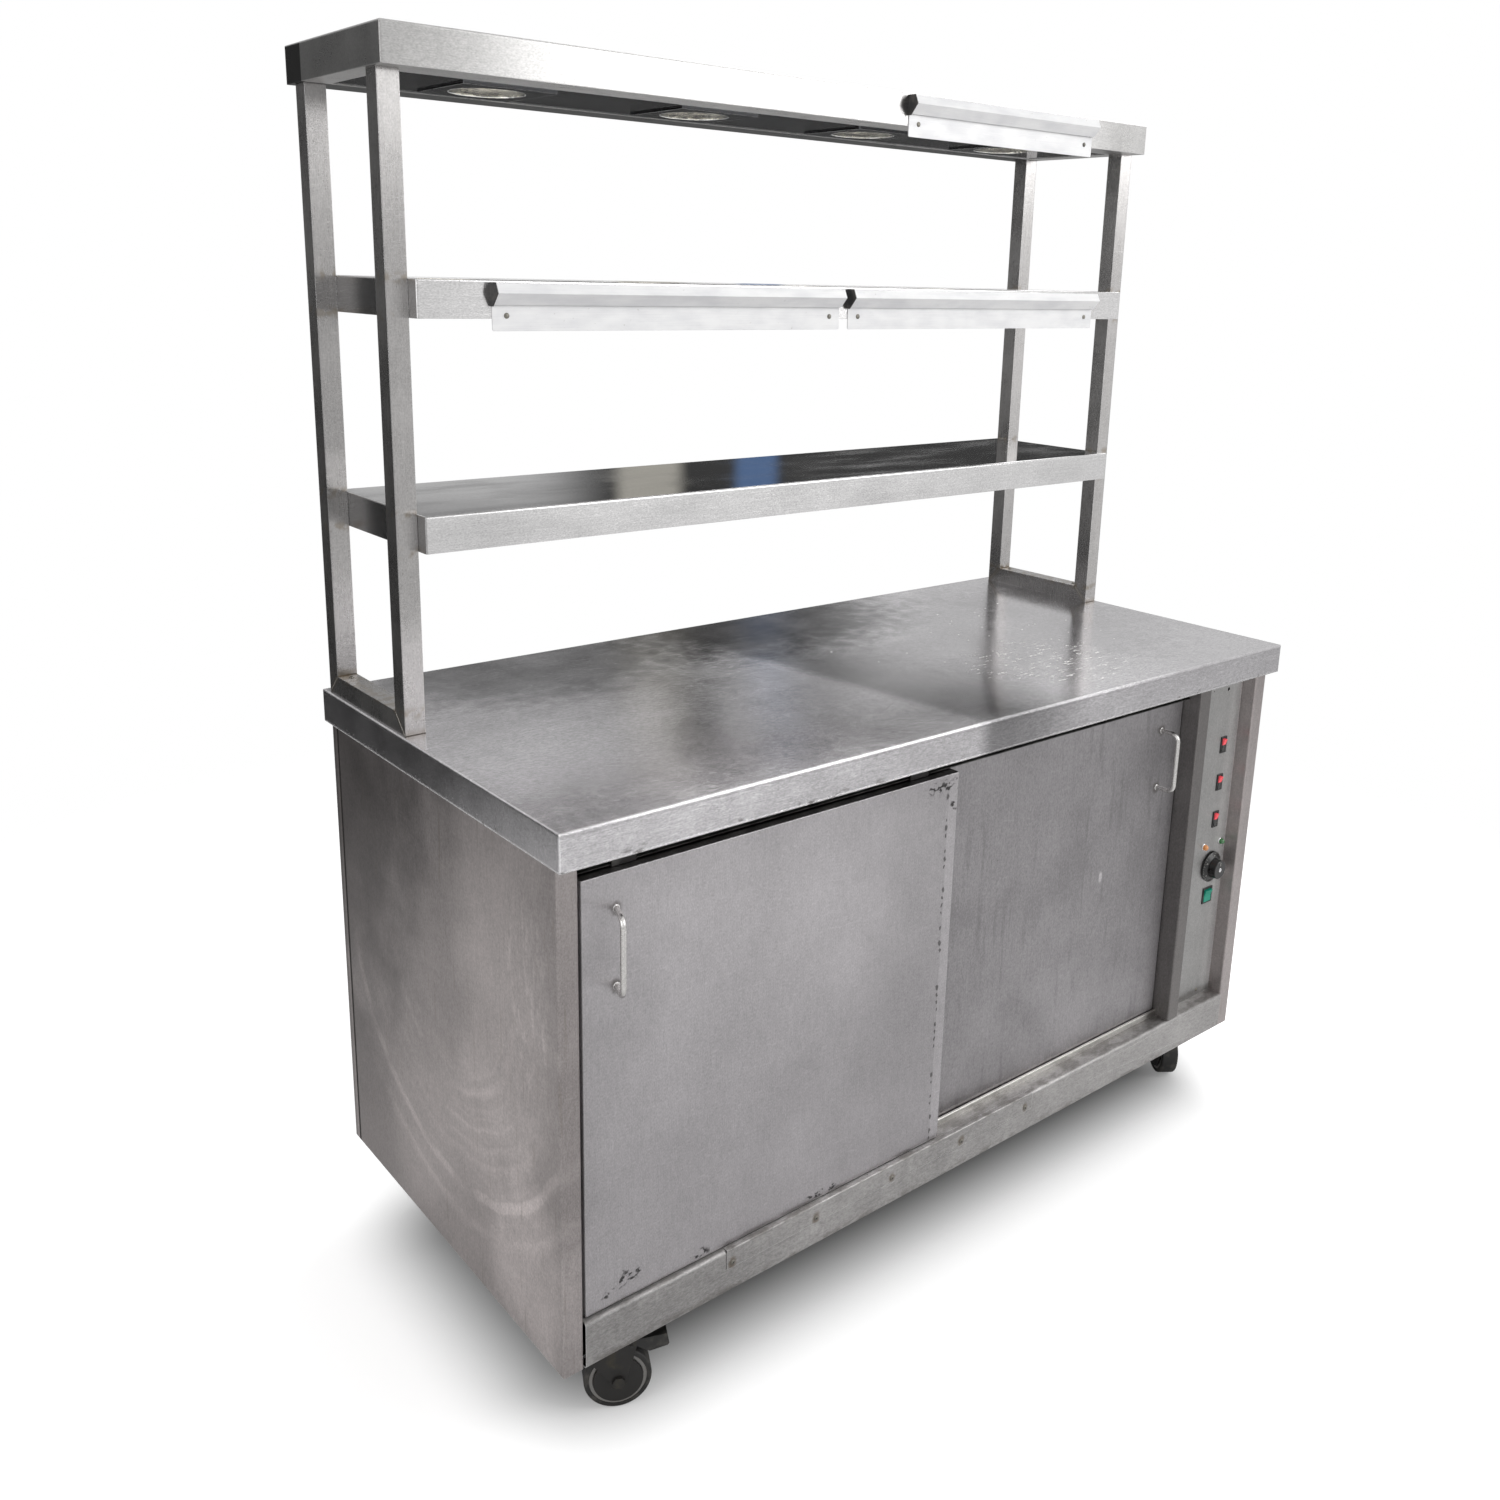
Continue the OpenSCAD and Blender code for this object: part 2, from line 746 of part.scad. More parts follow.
// Screws of the guard strip, ticket rails, control panel and end frames
module screws() {
    color(dull_steel) {
        for (x = guard_screw_xs)
            translate([x, rail_face - panel_sheet, guard_screw_z]) rotate([90, 0, 0]) screw(8);
        for (rail = rail_places, x = [ticket_screw_inset, rail[1] - ticket_screw_inset])
            translate([rail[0] + x, rail[2] - ticket_wall, rail[3] + ticket_screw_rise])
                rotate([90, 0, 0]) screw(6);
        translate([control_x, panel_face, panel_screw_z]) rotate([90, 0, 0]) screw(8);
        for (side = [-1, 1], y = frame_screw_ys())
            translate([side * (frame_outer - tube / 2), y, worktop_h + tube])
                screw(tube + 2 * top_sheet + 5);
    }
}

// Inside

module inner_shelf() {
    left = inner_left + seat;
    right = column_x - seat;
    color(steel)
        translate([(left + right) / 2, (inner_shelf_front + inner_rear - seat) / 2,
            inner_shelf_z - inner_shelf_edge])
            folded_lid(right - left, inner_rear - seat - inner_shelf_front, inner_shelf_edge,
                panel_sheet, panel_sheet + 1, 10, 10);
}

// Runners under the inner shelf and clips that carry the heating element
module inner_brackets() {
    under = inner_shelf_z - inner_shelf_edge;
    half = bracket_sheet / 2;
    color(dull_steel) {
        along_y(inner_shelf_front + 5, inner_rear - 2 * panel_bend) {
            folded_section([[inner_left + half, under - bracket_leg],
                [inner_left + half, under - half], [inner_left + bracket_leg, under - half]],
                bracket_sheet, bracket_sheet);
            folded_section([[column_x - half, under - bracket_leg],
                [column_x - half, under - half], [column_x - bracket_leg, under - half]],
                bracket_sheet, bracket_sheet);
        }
        for (x = [column_x - 60, column_x - element_l + element_span / 2 + 20])
            translate([x, 0, 0]) element_clip();
    }
}

// Folded stand with a hole for each run of the element
module element_clip() {
    reach = element_span / 2 + 20;
    difference() {
        union() {
            block([0, element_y - reach, sill], [bracket_sheet, element_y + reach,
                element_z + element_r + 6]);
            block([0, element_y - reach, sill], [clip_w, element_y + reach,
                sill + bracket_sheet]);
        }
        for (side = [-1, 1])
            translate([-over, element_y + side * element_span / 2, element_z])
                rotate([0, 90, 0]) cylinder(r = element_hole_r, h = bracket_sheet + 2 * over);
    }
}

// Hairpin heating rod whose ends pass through the column's wall
module heating_element() {
    turn = element_span / 2;
    left = column_x - element_l + turn;
    color("#4b4744") {
        for (side = [-1, 1])
            translate([left, element_y + side * turn, element_z])
                rotate([0, 90, 0]) cylinder(r = element_r, h = element_end - left);
        translate([left, element_y, element_z])
            rotate([0, 0, 90]) rotate_extrude(angle = 180) translate([turn, 0]) circle(element_r);
    }
}

// Gantry

// Two posts and a base rail of square tube, welded at mitred corners
module end_frame() {
    y0 = gantry_front;
    y1 = gantry_rear;
    z0 = worktop_h;
    color(steel)
        difference() {
            union() {
                block([-tube / 2, y0, z0], [tube / 2, y1, z0 + tube]);
                block([-tube / 2, y0, z0], [tube / 2, y0 + tube, z0 + post_h]);
                block([-tube / 2, y1 - tube, z0], [tube / 2, y1, z0 + post_h]);
            }
            bore_box(y0, y1, z0, z0 + tube);
            bore_box(y0, y0 + tube, z0, z0 + post_h + 2 * tube_wall);
            bore_box(y1 - tube, y1, z0, z0 + post_h + 2 * tube_wall);
            for (y = frame_screw_ys())
                translate([0, y, z0 - over]) cylinder(r = screw_hole_r, h = tube + 2 * over);
        }
}

// Inside of a length of tube
module bore_box(y0, y1, z0, z1) {
    half = tube / 2 - tube_wall;
    block([-half, y0 + tube_wall, z0 + tube_wall], [half, y1 - tube_wall, z1 - tube_wall]);
}

module left_end_frame() {
    translate([-frame_outer + tube / 2, 0, 0]) end_frame();
}

module right_end_frame() {
    translate([frame_outer - tube / 2, 0, 0]) end_frame();
}

// Shelf between the end frames, its front edge ahead of the posts
module gantry_shelf(top) {
    translate([0, (shelf_front + gantry_rear) / 2, worktop_h + top - shelf_t])
        folded_lid(shelf_l, shelf_d, shelf_t, shelf_sheet, edge_r, shelf_lip, shelf_lip);
}

module lower_shelf() {
    color(steel) gantry_shelf(lower_shelf_h);
}

module middle_shelf() {
    color(steel)
        difference() {
            gantry_shelf(middle_shelf_h);
            ticket_screw_holes();
        }
}

module canopy() {
    color(steel)
        difference() {
            translate([0, canopy_y, canopy_bottom])
                folded_lid(worktop_l, canopy_d, shelf_t, shelf_sheet, edge_r, canopy_lip,
                    canopy_end_lip);
            ticket_screw_holes();
        }
}

module ticket_screw_holes() {
    for (rail = rail_places, x = [ticket_screw_inset, rail[1] - ticket_screw_inset])
        bar_y(rail[0] + x, rail[3] + ticket_screw_rise, screw_hole_r, rail[2] - 3 * over,
            rail[2] + 2 * shelf_sheet);
}

// Plate on the canopy's lips, with a round hole for each lamp
module lamp_tray() {
    half_l = worktop_l / 2 - canopy_end_lip + 13;
    half_d = canopy_d / 2 - canopy_lip + 13;
    color(steel)
        difference() {
            block([-half_l, canopy_y - half_d, tray_z],
                [half_l, canopy_y + half_d, tray_z + shelf_sheet]);
            for (x = lamp_xs)
                translate([x, canopy_y, tray_z - over]) cylinder(r = tray_hole_r, h = 3 * over);
        }
}

// Square bezel under the tray with the spun reflector dish above it
module lamp_bezels() {
    neck = 12;
    color(pale_metal)
        for (x = lamp_xs)
            translate([x, canopy_y, bezel_z]) {
                difference() {
                    linear_extrude(bezel_t) rounded_plan(bezel_side, bezel_side, 3);
                    translate([0, 0, -over]) cylinder(r = glass_r + seat, h = bezel_t + 2 * over);
                }
                rotate_extrude()
                    polygon([[glass_r + seat, bezel_t], [glass_r + 3, bezel_t],
                        [glass_r + 3, bezel_t + 3], [neck + 12, dish_h], [neck + 1, dish_h],
                        [neck + 1, dish_h + 4], [neck, dish_h + 4], [neck, dish_h - 1],
                        [neck + 11, dish_h - 1], [glass_r + seat, bezel_t + 2]]);
            }
}

// Glass disc and capsule bulb of each heat lamp
module lamp_glasses() {
    color("#f4f1e6", 0.8)
        for (x = lamp_xs)
            translate([x, canopy_y, bezel_z]) {
                translate([0, 0, 0.5]) cylinder(r = glass_r, h = bezel_t - 0.5);
                rotate_extrude() {
                    translate([0, dish_h - 14]) square([12 - seat, 17]);
                    translate([0, 14]) square([5.5, dish_h - 28]);
                    translate([0, 14]) intersection() {
                        circle(5.5);
                        translate([0, -6]) square([6, 6]);
                    }
                }
            }
}

// Ticket rails

// Section of a ticket rail: depth in front of its flange's back, height above its foot
module ticket_section() {
    foot = ticket_h - ticket_body_h;
    brow = ticket_h - 13;
    w = ticket_wall;
    polygon([[0, 0], [w, 0], [w, ticket_h - w], [ticket_d * 0.7 - w, ticket_h - w],
        [ticket_d - w - 0.4, brow + 0.4], [w + 3.2, foot + w], [w + 3.2, foot],
        [w + 4.6, foot], [ticket_d, brow], [ticket_d * 0.7, ticket_h], [0, ticket_h]]);
}

// Outline of the body alone, for the cover at its left end
module cover_section() {
    foot = ticket_h - ticket_body_h;
    brow = ticket_h - 13;
    polygon([[0, foot - 2], [ticket_wall + 4.6, foot - 2], [ticket_d + 0.8, brow],
        [ticket_d * 0.7 + 0.5, ticket_h + 0.8], [0, ticket_h + 0.8]]);
}

// Hollow of the body, for the plugs in its ends
module plug_section() {
    foot = ticket_h - ticket_body_h;
    brow = ticket_h - 13;
    w = ticket_wall;
    polygon([[w, foot], [w + 3.2, foot], [w + 3.2, foot + w],
        [ticket_d - w - 0.4, brow + 0.4], [ticket_d * 0.7 - w, ticket_h - w], [w, ticket_h - w]]);
}

// Stands a section up in front of a rail's place
module on_rail(rail, x0, x1) {
    translate([rail[0], rail[2], rail[3]])
        mirror([0, 1, 0]) along_x(x0, x1) children();
}

module ticket_rails() {
    color(pale_metal)
        difference() {
            for (rail = rail_places)
                intersection() {
                    on_rail(rail, 0, rail[1]) ticket_section();
                    translate([rail[0] + rail[1] / 2, 0, rail[3] + ticket_h])
                        along_y(rail[2] - 2 * ticket_d, rail[2] + over)
                            rotate(180) arched_section(rail[1], ticket_h, ticket_corner_r);
                }
            ticket_screw_holes();
        }
}

module ticket_rail_caps() {
    color(black_plastic)
        for (rail = rail_places) {
            on_rail(rail, -cap_t, 0) cover_section();
            on_rail(rail, -over / 2, ticket_plug_l) plug_section();
            on_rail(rail, rail[1] - ticket_plug_l, rail[1]) plug_section();
        }
}

// Controls

// Housing of one rocker switch: bezel on the panel and a body with a well behind it
module switch_housing(w, z) {
    body_w = w - 2 * bezel_rim;
    body_h = switch_h - 2 * bezel_rim;
    well_w = body_w - 2.4;
    well_h = body_h - 1.2;
    difference() {
        union() {
            block([control_x - w / 2, panel_face - switch_bezel_t, z - switch_h / 2],
                [control_x + w / 2, panel_face, z + switch_h / 2]);
            block([control_x - body_w / 2, panel_face, z - body_h / 2],
                [control_x + body_w / 2, panel_face + switch_body_d, z + body_h / 2]);
        }
        block([control_x - well_w / 2, panel_face - switch_bezel_t - over, z - well_h / 2],
            [control_x + well_w / 2, panel_face + 10, z + well_h / 2]);
        translate([control_x - w / 2 - over, panel_face + rocker_pivot_y, z])
            rotate([0, 90, 0]) cylinder(r = rocker_pin_r + running, h = w + 2 * over);
    }
}

module switch_bezels() {
    color(black_plastic) {
        for (z = switch_zs)
            switch_housing(switch_w, z);
        switch_housing(main_switch_w, main_z);
    }
}

// Rocker with a shallow vee face, tipped so that its upper end stands out
module rocker(w, z) {
    well_w = w - 2 * bezel_rim - 2.4;
    half = (switch_h - 2 * bezel_rim - 1.2) / 2 - 1.1;
    translate([control_x, panel_face + rocker_pivot_y, z])
        rotate([rocker_tilt, 0, 0]) {
            along_x(-well_w / 2 + rocker_gap, well_w / 2 - rocker_gap)
                polygon([[-6.5, half], [-4.4, 0], [-6.5, -half], [0, -half + 0.6],
                    [4.5, -half * 0.5], [4.5, half * 0.5], [0, half - 0.6]]);
            translate([-well_w / 2 - rocker_pin_l, 0, 0])
                rotate([0, 90, 0]) cylinder(r = rocker_pin_r, h = well_w + 2 * rocker_pin_l);
        }
}

module top_rocker() {
    color("#c2242c") rocker(switch_w, switch_zs[0]);
}

module middle_rocker() {
    color("#c2242c") rocker(switch_w, switch_zs[1]);
}

module bottom_rocker() {
    color("#c2242c") rocker(switch_w, switch_zs[2]);
}

module main_rocker() {
    color("#0d8f80") rocker(main_switch_w, main_z);
}

// Pilot lamps: bezel ring and lens in front of the panel, body behind it
module pilot_lamps() {
    for (side = [-1, 1])
        color(side < 0 ? "#e08a3a" : "#3d7a3c")
            translate([control_x + side * pilot_pitch / 2, panel_face, pilot_z])
                rotate([90, 0, 0])
                    rotate_extrude() {
                        translate([0, -pilot_body_d]) square([pilot_body_r, pilot_body_d]);
                        square([pilot_r, 1.2]);
                        square([pilot_r - 1.2, 4]);
                        translate([0, 4]) intersection() {
                            circle(pilot_r - 1.2);
                            square(pilot_r);
                        }
                    }
}

// Thermostat behind the panel, with the bush that its shaft turns in
module thermostat_body() {
    half = thermostat_side / 2;
    color(grey_plastic)
        difference() {
            union() {
                block([control_x - half, panel_back, knob_z - half],
                    [control_x + half, panel_back + thermostat_d, knob_z + half]);
                bar_y(control_x, knob_z, bush_r, panel_face - 3, panel_back + over);
            }
            bar_y(control_x, knob_z, shaft_r + running, panel_face - 5, panel_back + 14);
        }
}

// Knob with a sloping numbered skirt, a fluted grip and a pale disc, on its shaft
module thermostat_knob() {
    base = 3.6;
    rim = 6.2;
    flute_r = 2.6;
    flutes = 12;
    color(black_plastic)
        translate([control_x, panel_face, knob_z])
            rotate([90, 0, 0]) {
                difference() {
                    rotate_extrude()
                        polygon([[0, base], [skirt_r, base], [skirt_r, base + 1.2],
                            [grip_r + 2, base + rim], [grip_r, base + rim],
                            [grip_r - 1.5, knob_reach - 1], [grip_r - 2.5, knob_reach],
                            [0, knob_reach]]);
                    for (i = [0 : flutes - 1])
                        rotate(i * 360 / flutes)
                            translate([grip_r + 1, 0, base + rim]) cylinder(r = flute_r, h = 30);
                    translate([0, 0, knob_reach - 0.8]) cylinder(r = 4.5, h = 2);
                }
                translate([0, 0, knob_reach - 0.8]) cylinder(r = 4.2, h = 1);
                translate([0, 0, -12]) cylinder(r = shaft_r, h = base + 13);
            }
}

// Gland for the supply lead, through the rear panel
module cable_gland() {
    color(black_plastic)
        translate([gland_x, 0, gland_z])
            rotate([-90, 0, 0])
                difference() {
                    union() {
                        translate([0, 0, cab_rear]) cylinder(r = 12, h = 5, $fn = 6);
                        translate([0, 0, cab_rear + 5]) cylinder(r = 9.5, h = 8);
                        translate([0, 0, inner_rear - 12])
                            cylinder(r = gland_hole_r - 0.2, h = 13 + panel_sheet);
                        translate([0, 0, inner_rear - 5]) cylinder(r = 12, h = 5, $fn = 6);
                    }
                    translate([0, 0, inner_rear - 20]) cylinder(r = gland_bore_r, h = 60);
                }
}

// Doors, drawn with the lower front left corner at the origin

module door_outer() {
    difference() {
        along_z(0, door_h)
            intersection() {
                translate([door_w / 2, door_t]) rounded_plan(door_w, 2 * door_t, 1.6);
                square([door_w, door_t]);
            }
        block([door_sheet, door_sheet, door_sheet],
            [door_w - door_sheet, door_t + over, door_h - door_sheet]);
    }
}

// Rear skin with two folded hangers, each with a pin that carries a roller behind it
module door_inner() {
    skin = door_t - door_sheet;
    inset = door_sheet + seat;
    z_fold = door_h + door_sheet / 2 + seat;
    z_top = roller_z - door_bottom + 7;
    pin_y = tab_y - track_lead;
    roller_back = roller_y - track_lead + roller_w;
    block([inset, skin, inset], [door_w - inset, door_t, door_h - inset]);
    for (x = [roller_inset, door_w - roller_inset]) {
        along_x(x - tab_w / 2, x + tab_w / 2)
            folded_section([[door_t + door_sheet / 2, door_h / 2],
                [door_t + door_sheet / 2, z_fold], [pin_y, z_fold], [pin_y, z_top]],
                door_sheet, door_sheet / 2 + 0.1);
        bar_y(x, roller_z - door_bottom, roller_pin_r, pin_y, roller_back + 0.6);
        bar_y(x, roller_z - door_bottom, roller_pin_r + 1.5, roller_back + seat,
            roller_back + 1.5);
    }
}

// Roller on its hanger's pin
module door_roller(x) {
    translate([x, roller_y - track_lead, roller_z - door_bottom])
        rotate([-90, 0, 0])
            difference() {
                cylinder(r = roller_r, h = roller_w);
                translate([0, 0, -over]) cylinder(r = roller_pin_r + running, h = roller_w + 2 * over);
            }
}

// Bar bent into a bow, standing out along -Y, with the ends of its legs behind the door's face
module bent_bar() {
    r = handle_bar / 2;
    half = handle_span / 2;
    for (end = [-1, 1]) {
        bar_y(0, end * half, r, -handle_reach + handle_bend, r);
        translate([0, -handle_reach + handle_bend, end * (half - handle_bend)])
            rotate([0, -90, 0]) rotate([0, 0, end > 0 ? 270 : 180])
                rotate_extrude(angle = 90) translate([handle_bend, 0]) circle(r);
    }
    translate([0, -handle_reach, -half + handle_bend])
        cylinder(r = r, h = 2 * (half - handle_bend));
}

// Handle on its two feet, turned to the left by an angle and cut off flush with the door
module bar_handle(lean) {
    for (end = [-1, 1])
        bar_y(0, end * handle_span / 2, handle_foot_r, -handle_foot_t, 0);
    difference() {
        rotate(-lean) bent_bar();
        block([-handle_reach, 0, -handle_span], [handle_reach, handle_reach, handle_span]);
    }
}

module at_left_door() {
    translate([left_door_x, left_door_y, door_bottom]) children();
}

module at_right_door() {
    translate([right_door_x, right_door_y, door_bottom]) children();
}

module left_door_outer() {
    color(steel) at_left_door() door_outer();
}

module right_door_outer() {
    color(steel) at_right_door() door_outer();
}

module left_door_inner() {
    color(dull_steel) at_left_door() door_inner();
}

module right_door_inner() {
    color(dull_steel) at_right_door() door_inner();
}

module left_door_handle() {
    color(pale_metal)
        translate([left_handle_x, left_door_y, handle_z]) bar_handle(handle_lean);
}

module right_door_handle() {
    color(pale_metal)
        translate([right_handle_x, right_door_y, handle_z]) bar_handle(0);
}

module left_door_roller_a() {
    color(black_plastic) at_left_door() door_roller(roller_inset);
}

module left_door_roller_b() {
    color(black_plastic) at_left_door() door_roller(door_w - roller_inset);
}

module right_door_roller_a() {
    color(black_plastic) at_right_door() door_roller(roller_inset);
}

module right_door_roller_b() {
    color(black_plastic) at_right_door() door_roller(door_w - roller_inset);
}

// Castors

// Top plate with its race, the kingpin with its nut, and four bolts
module castor_plate() {
    race_bottom = head_top + seat;
    difference() {
        union() {
            translate([0, 0, castor_h - plate_t])
                linear_extrude(plate_t) rounded_plan(plate_l, plate_w, 8);
            translate([0, 0, race_bottom]) cylinder(r = head_r + 4, h = castor_h - plate_t - race_bottom);
            translate([0, 0, crown_z - 8]) cylinder(r = kingpin_r, h = castor_h - crown_z + 6);
            translate([0, 0, crown_z - 5 - seat]) cylinder(r = 10, h = 5, $fn = 6);
        }
        for (x = [-1, 1], y = [-1, 1])
            translate([x * bolt_x, y * bolt_y, castor_h - plate_t - over]) cylinder(r = 4.3, h = 6);
    }
    for (x = [-1, 1], y = [-1, 1])
        translate([x * bolt_x, y * bolt_y, 0]) {
            translate([0, 0, castor_h - plate_t - 5.5]) cylinder(r = 7, h = 5.5, $fn = 6);
            translate([0, 0, castor_h - plate_t - over]) cylinder(r = 4, h = 14);
        }
}

module castor_plates() {
    color(dull_steel)
        for (castor = castors)
            translate([castor.x, castor.y, 0]) castor_plate();
}

// Fork drawn with the wheel trailing along +X
module fork(braked) {
    tail = braked ? pedal_x + 7 : 30;
    difference() {
        union() {
            for (side = [-1, 1])
                translate([0, side * (leg_y + leg_t / 2) + leg_t / 2, 0])
                    rotate([90, 0, 0])
                        linear_extrude(leg_t) {
                            polygon([[-24, crown_z], [-24, crown_z + crown_t],
                                [tail, crown_z + crown_t], [tail, crown_z - 12],
                                [castor_trail + 11, wheel_r], [castor_trail - 11, wheel_r]]);
                            translate([castor_trail, wheel_r]) circle(11);
                        }
            block([-24, -leg_y - leg_t / 2, crown_z], [28, leg_y + leg_t / 2, crown_z + crown_t]);
            translate([0, 0, crown_z]) cylinder(r = head_r, h = head_top - crown_z);
        }
        translate([0, 0, crown_z - over])
            cylinder(r = kingpin_r + running, h = head_top - crown_z + 2 * over);
        bar_y(castor_trail, wheel_r, axle_r + seat / 2, -leg_y - 2 * leg_t, leg_y + 2 * leg_t);
        if (braked)
            bar_y(pedal_x, pedal_z, pedal_pin_r + running, -leg_y - 2 * leg_t, leg_y + 2 * leg_t);
    }
    axle();
    for (side = [-1, 1])
        guard_disc(side);
}

// Axle bolt through the wheel
module axle() {
    reach = leg_y + leg_t + axle_end;
    bar_y(castor_trail, wheel_r, axle_r, -reach, reach);
    for (side = [-1, 1])
        translate([castor_trail, side * (leg_y + leg_t + axle_end / 2 + seat), wheel_r])
            rotate([90, 0, 0]) cylinder(r = 9, h = axle_end, center = true, $fn = 6);
}

// Dark disc between the leg and the wheel that keeps thread and dirt off the axle
module guard_disc(side) {
    translate([castor_trail, side * (leg_y - 0.2 - 0.9), wheel_r])
        rotate([90, 0, 0])
            difference() {
                cylinder(r = guard_disc_r, h = 1.8, center = true);
                cylinder(r = axle_r + running, h = 4, center = true);
            }
}

// Rim with its hub and web, on the axle
module rim() {
    half = wheel_w / 2 - 1.2;
    translate([castor_trail, 0, wheel_r])
        rotate([90, 0, 0])
            difference() {
                cylinder(r = rim_r, h = 2 * half, center = true);
                for (side = [-1, 1])
                    translate([0, 0, side * (half - 3 + 5)])
                        difference() {
                            cylinder(r = guard_disc_r + 0.6, h = 10, center = true);
                            cylinder(r = 13, h = 12, center = true);
                        }
                cylinder(r = axle_r + running, h = wheel_w, center = true);
            }
}

// Tyre with round shoulders
module tyre() {
    half = wheel_w / 2;
    shoulder = (wheel_r - rim_r) / 2;
    translate([castor_trail, 0, wheel_r])
        rotate([90, 0, 0])
            rotate_extrude() {
                translate([rim_r, -half]) square([wheel_r - rim_r - shoulder, wheel_w]);
                translate([rim_r, -half + shoulder])
                    square([wheel_r - rim_r, wheel_w - 2 * shoulder]);
                for (side = [-1, 1])
                    translate([wheel_r - shoulder, side * (half - shoulder)]) circle(shoulder);
            }
}

// Foot pedal with the brake shoe under it, hinged on a pin between the fork's legs
module pedal() {
    half = leg_y - seat - 0.2;
    pin_half = leg_y + leg_t + 1;
    bar_y(pedal_x, pedal_z, pedal_barrel_r, -half, half);
    bar_y(pedal_x, pedal_z, pedal_pin_r, -pin_half, pin_half);
    translate([pedal_x, 0, pedal_z]) {
        translate([0, half - 2, 0]) rotate([90, 0, 0]) linear_extrude(2 * half - 4) polygon(pedal_side);
        block([6, -half + 6, -shoe_h], [16, half - 6, over]);
    }
}

module at_castor(i) {
    translate([castors[i].x, castors[i].y, 0]) rotate(castors[i][2]) children();
}

module front_left_fork() {
    color(dull_steel) at_castor(0) fork(true);
}

module front_right_fork() {
    color(dull_steel) at_castor(1) fork(true);
}

module rear_left_fork() {
    color(dull_steel) at_castor(2) fork(false);
}

module rear_right_fork() {
    color(dull_steel) at_castor(3) fork(false);
}

module front_left_rim() {
    color(grey_plastic) at_castor(0) rim();
}

module front_right_rim() {
    color(grey_plastic) at_castor(1) rim();
}

module rear_left_rim() {
    color(grey_plastic) at_castor(2) rim();
}

module rear_right_rim() {
    color(grey_plastic) at_castor(3) rim();
}

module front_left_tyre() {
    color(black_plastic) at_castor(0) tyre();
}

module front_right_tyre() {
    color(black_plastic) at_castor(1) tyre();
}

module rear_left_tyre() {
    color(black_plastic) at_castor(2) tyre();
}

module rear_right_tyre() {
    color(black_plastic) at_castor(3) tyre();
}

module front_left_pedal() {
    color(black_plastic) at_castor(0) pedal();
}

module front_right_pedal() {
    color(black_plastic) at_castor(1) pedal();
}

worktop();
worktop_stiffeners();
left_side_panel();
right_side_panel();
rear_panel();
cupboard_floor();
base_frame();
control_column();
control_panel();
door_track();
door_foot_guide();
guard_strip();
screws();
inner_shelf();
inner_brackets();
heating_element();
left_end_frame();
right_end_frame();
lower_shelf();
middle_shelf();
canopy();
lamp_tray();
lamp_bezels();
lamp_glasses();
ticket_rails();
ticket_rail_caps();
switch_bezels();
pilot_lamps();
thermostat_body();
cable_gland();
castor_plates();
left_door_outer();
left_door_inner();
left_door_handle();
right_door_outer();
right_door_inner();
right_door_handle();
left_door_roller_a();
left_door_roller_b();
right_door_roller_a();
right_door_roller_b();
top_rocker();
middle_rocker();
bottom_rocker();
main_rocker();
thermostat_knob();
front_left_fork();
front_left_rim();
front_left_tyre();
front_left_pedal();
front_right_fork();
front_right_rim();
front_right_tyre();
front_right_pedal();
rear_left_fork();
rear_left_rim();
rear_left_tyre();
rear_right_fork();
rear_right_rim();
rear_right_tyre();
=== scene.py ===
# %% [markdown]
# # A used hot cupboard in satin stainless steel
# The CAD model gives every sheet, door, lamp and castor its exact shape and place. This lesson
# gives them their finishes, adds the small parts that only a close look shows, and sets up a
# plain pale studio with the camera where the photographer stood.

# %% Load the model
import math

import bmesh
import bpy
from mathutils import Matrix, Vector


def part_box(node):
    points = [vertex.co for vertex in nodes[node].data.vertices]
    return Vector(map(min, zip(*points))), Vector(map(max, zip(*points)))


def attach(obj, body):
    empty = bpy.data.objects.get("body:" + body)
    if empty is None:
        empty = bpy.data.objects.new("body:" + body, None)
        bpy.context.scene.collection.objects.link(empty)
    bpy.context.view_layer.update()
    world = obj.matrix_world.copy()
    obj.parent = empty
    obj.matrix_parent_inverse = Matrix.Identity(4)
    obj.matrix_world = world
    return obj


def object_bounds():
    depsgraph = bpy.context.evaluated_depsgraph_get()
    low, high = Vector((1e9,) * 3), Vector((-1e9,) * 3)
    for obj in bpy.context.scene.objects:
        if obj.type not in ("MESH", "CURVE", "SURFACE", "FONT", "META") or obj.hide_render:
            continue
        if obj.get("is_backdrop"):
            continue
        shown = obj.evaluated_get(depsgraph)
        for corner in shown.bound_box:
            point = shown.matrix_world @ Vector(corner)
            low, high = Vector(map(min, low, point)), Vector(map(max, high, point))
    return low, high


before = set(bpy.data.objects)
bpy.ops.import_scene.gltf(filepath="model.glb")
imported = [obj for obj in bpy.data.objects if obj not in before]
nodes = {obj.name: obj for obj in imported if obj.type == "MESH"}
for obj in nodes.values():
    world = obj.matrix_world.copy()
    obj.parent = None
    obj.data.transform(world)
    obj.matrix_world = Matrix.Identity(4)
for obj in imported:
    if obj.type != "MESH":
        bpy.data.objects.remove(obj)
cad_low, cad_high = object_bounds()
MM = 0.001
print(len(nodes), "parts,", [round(v, 3) for v in cad_high - cad_low], "m over all")

# %% [markdown]
# ## The camera
# The photograph was taken by someone standing in front of the left corner, at eye height, and
# holding the camera a little askew. The place and the angles below were fitted to the straight
# edges of the sheets, so they say where the lens was. Building the three axes of the camera from
# its angles is safer than Euler angles here, because the order of turning can't be mixed up.

# %% Camera
CAMERA_AT = Vector((-1.4981, -1.6308, 1.5181))
YAW, PITCH, ROLL = (math.radians(a) for a in (-39.526, -14.418, 1.442))

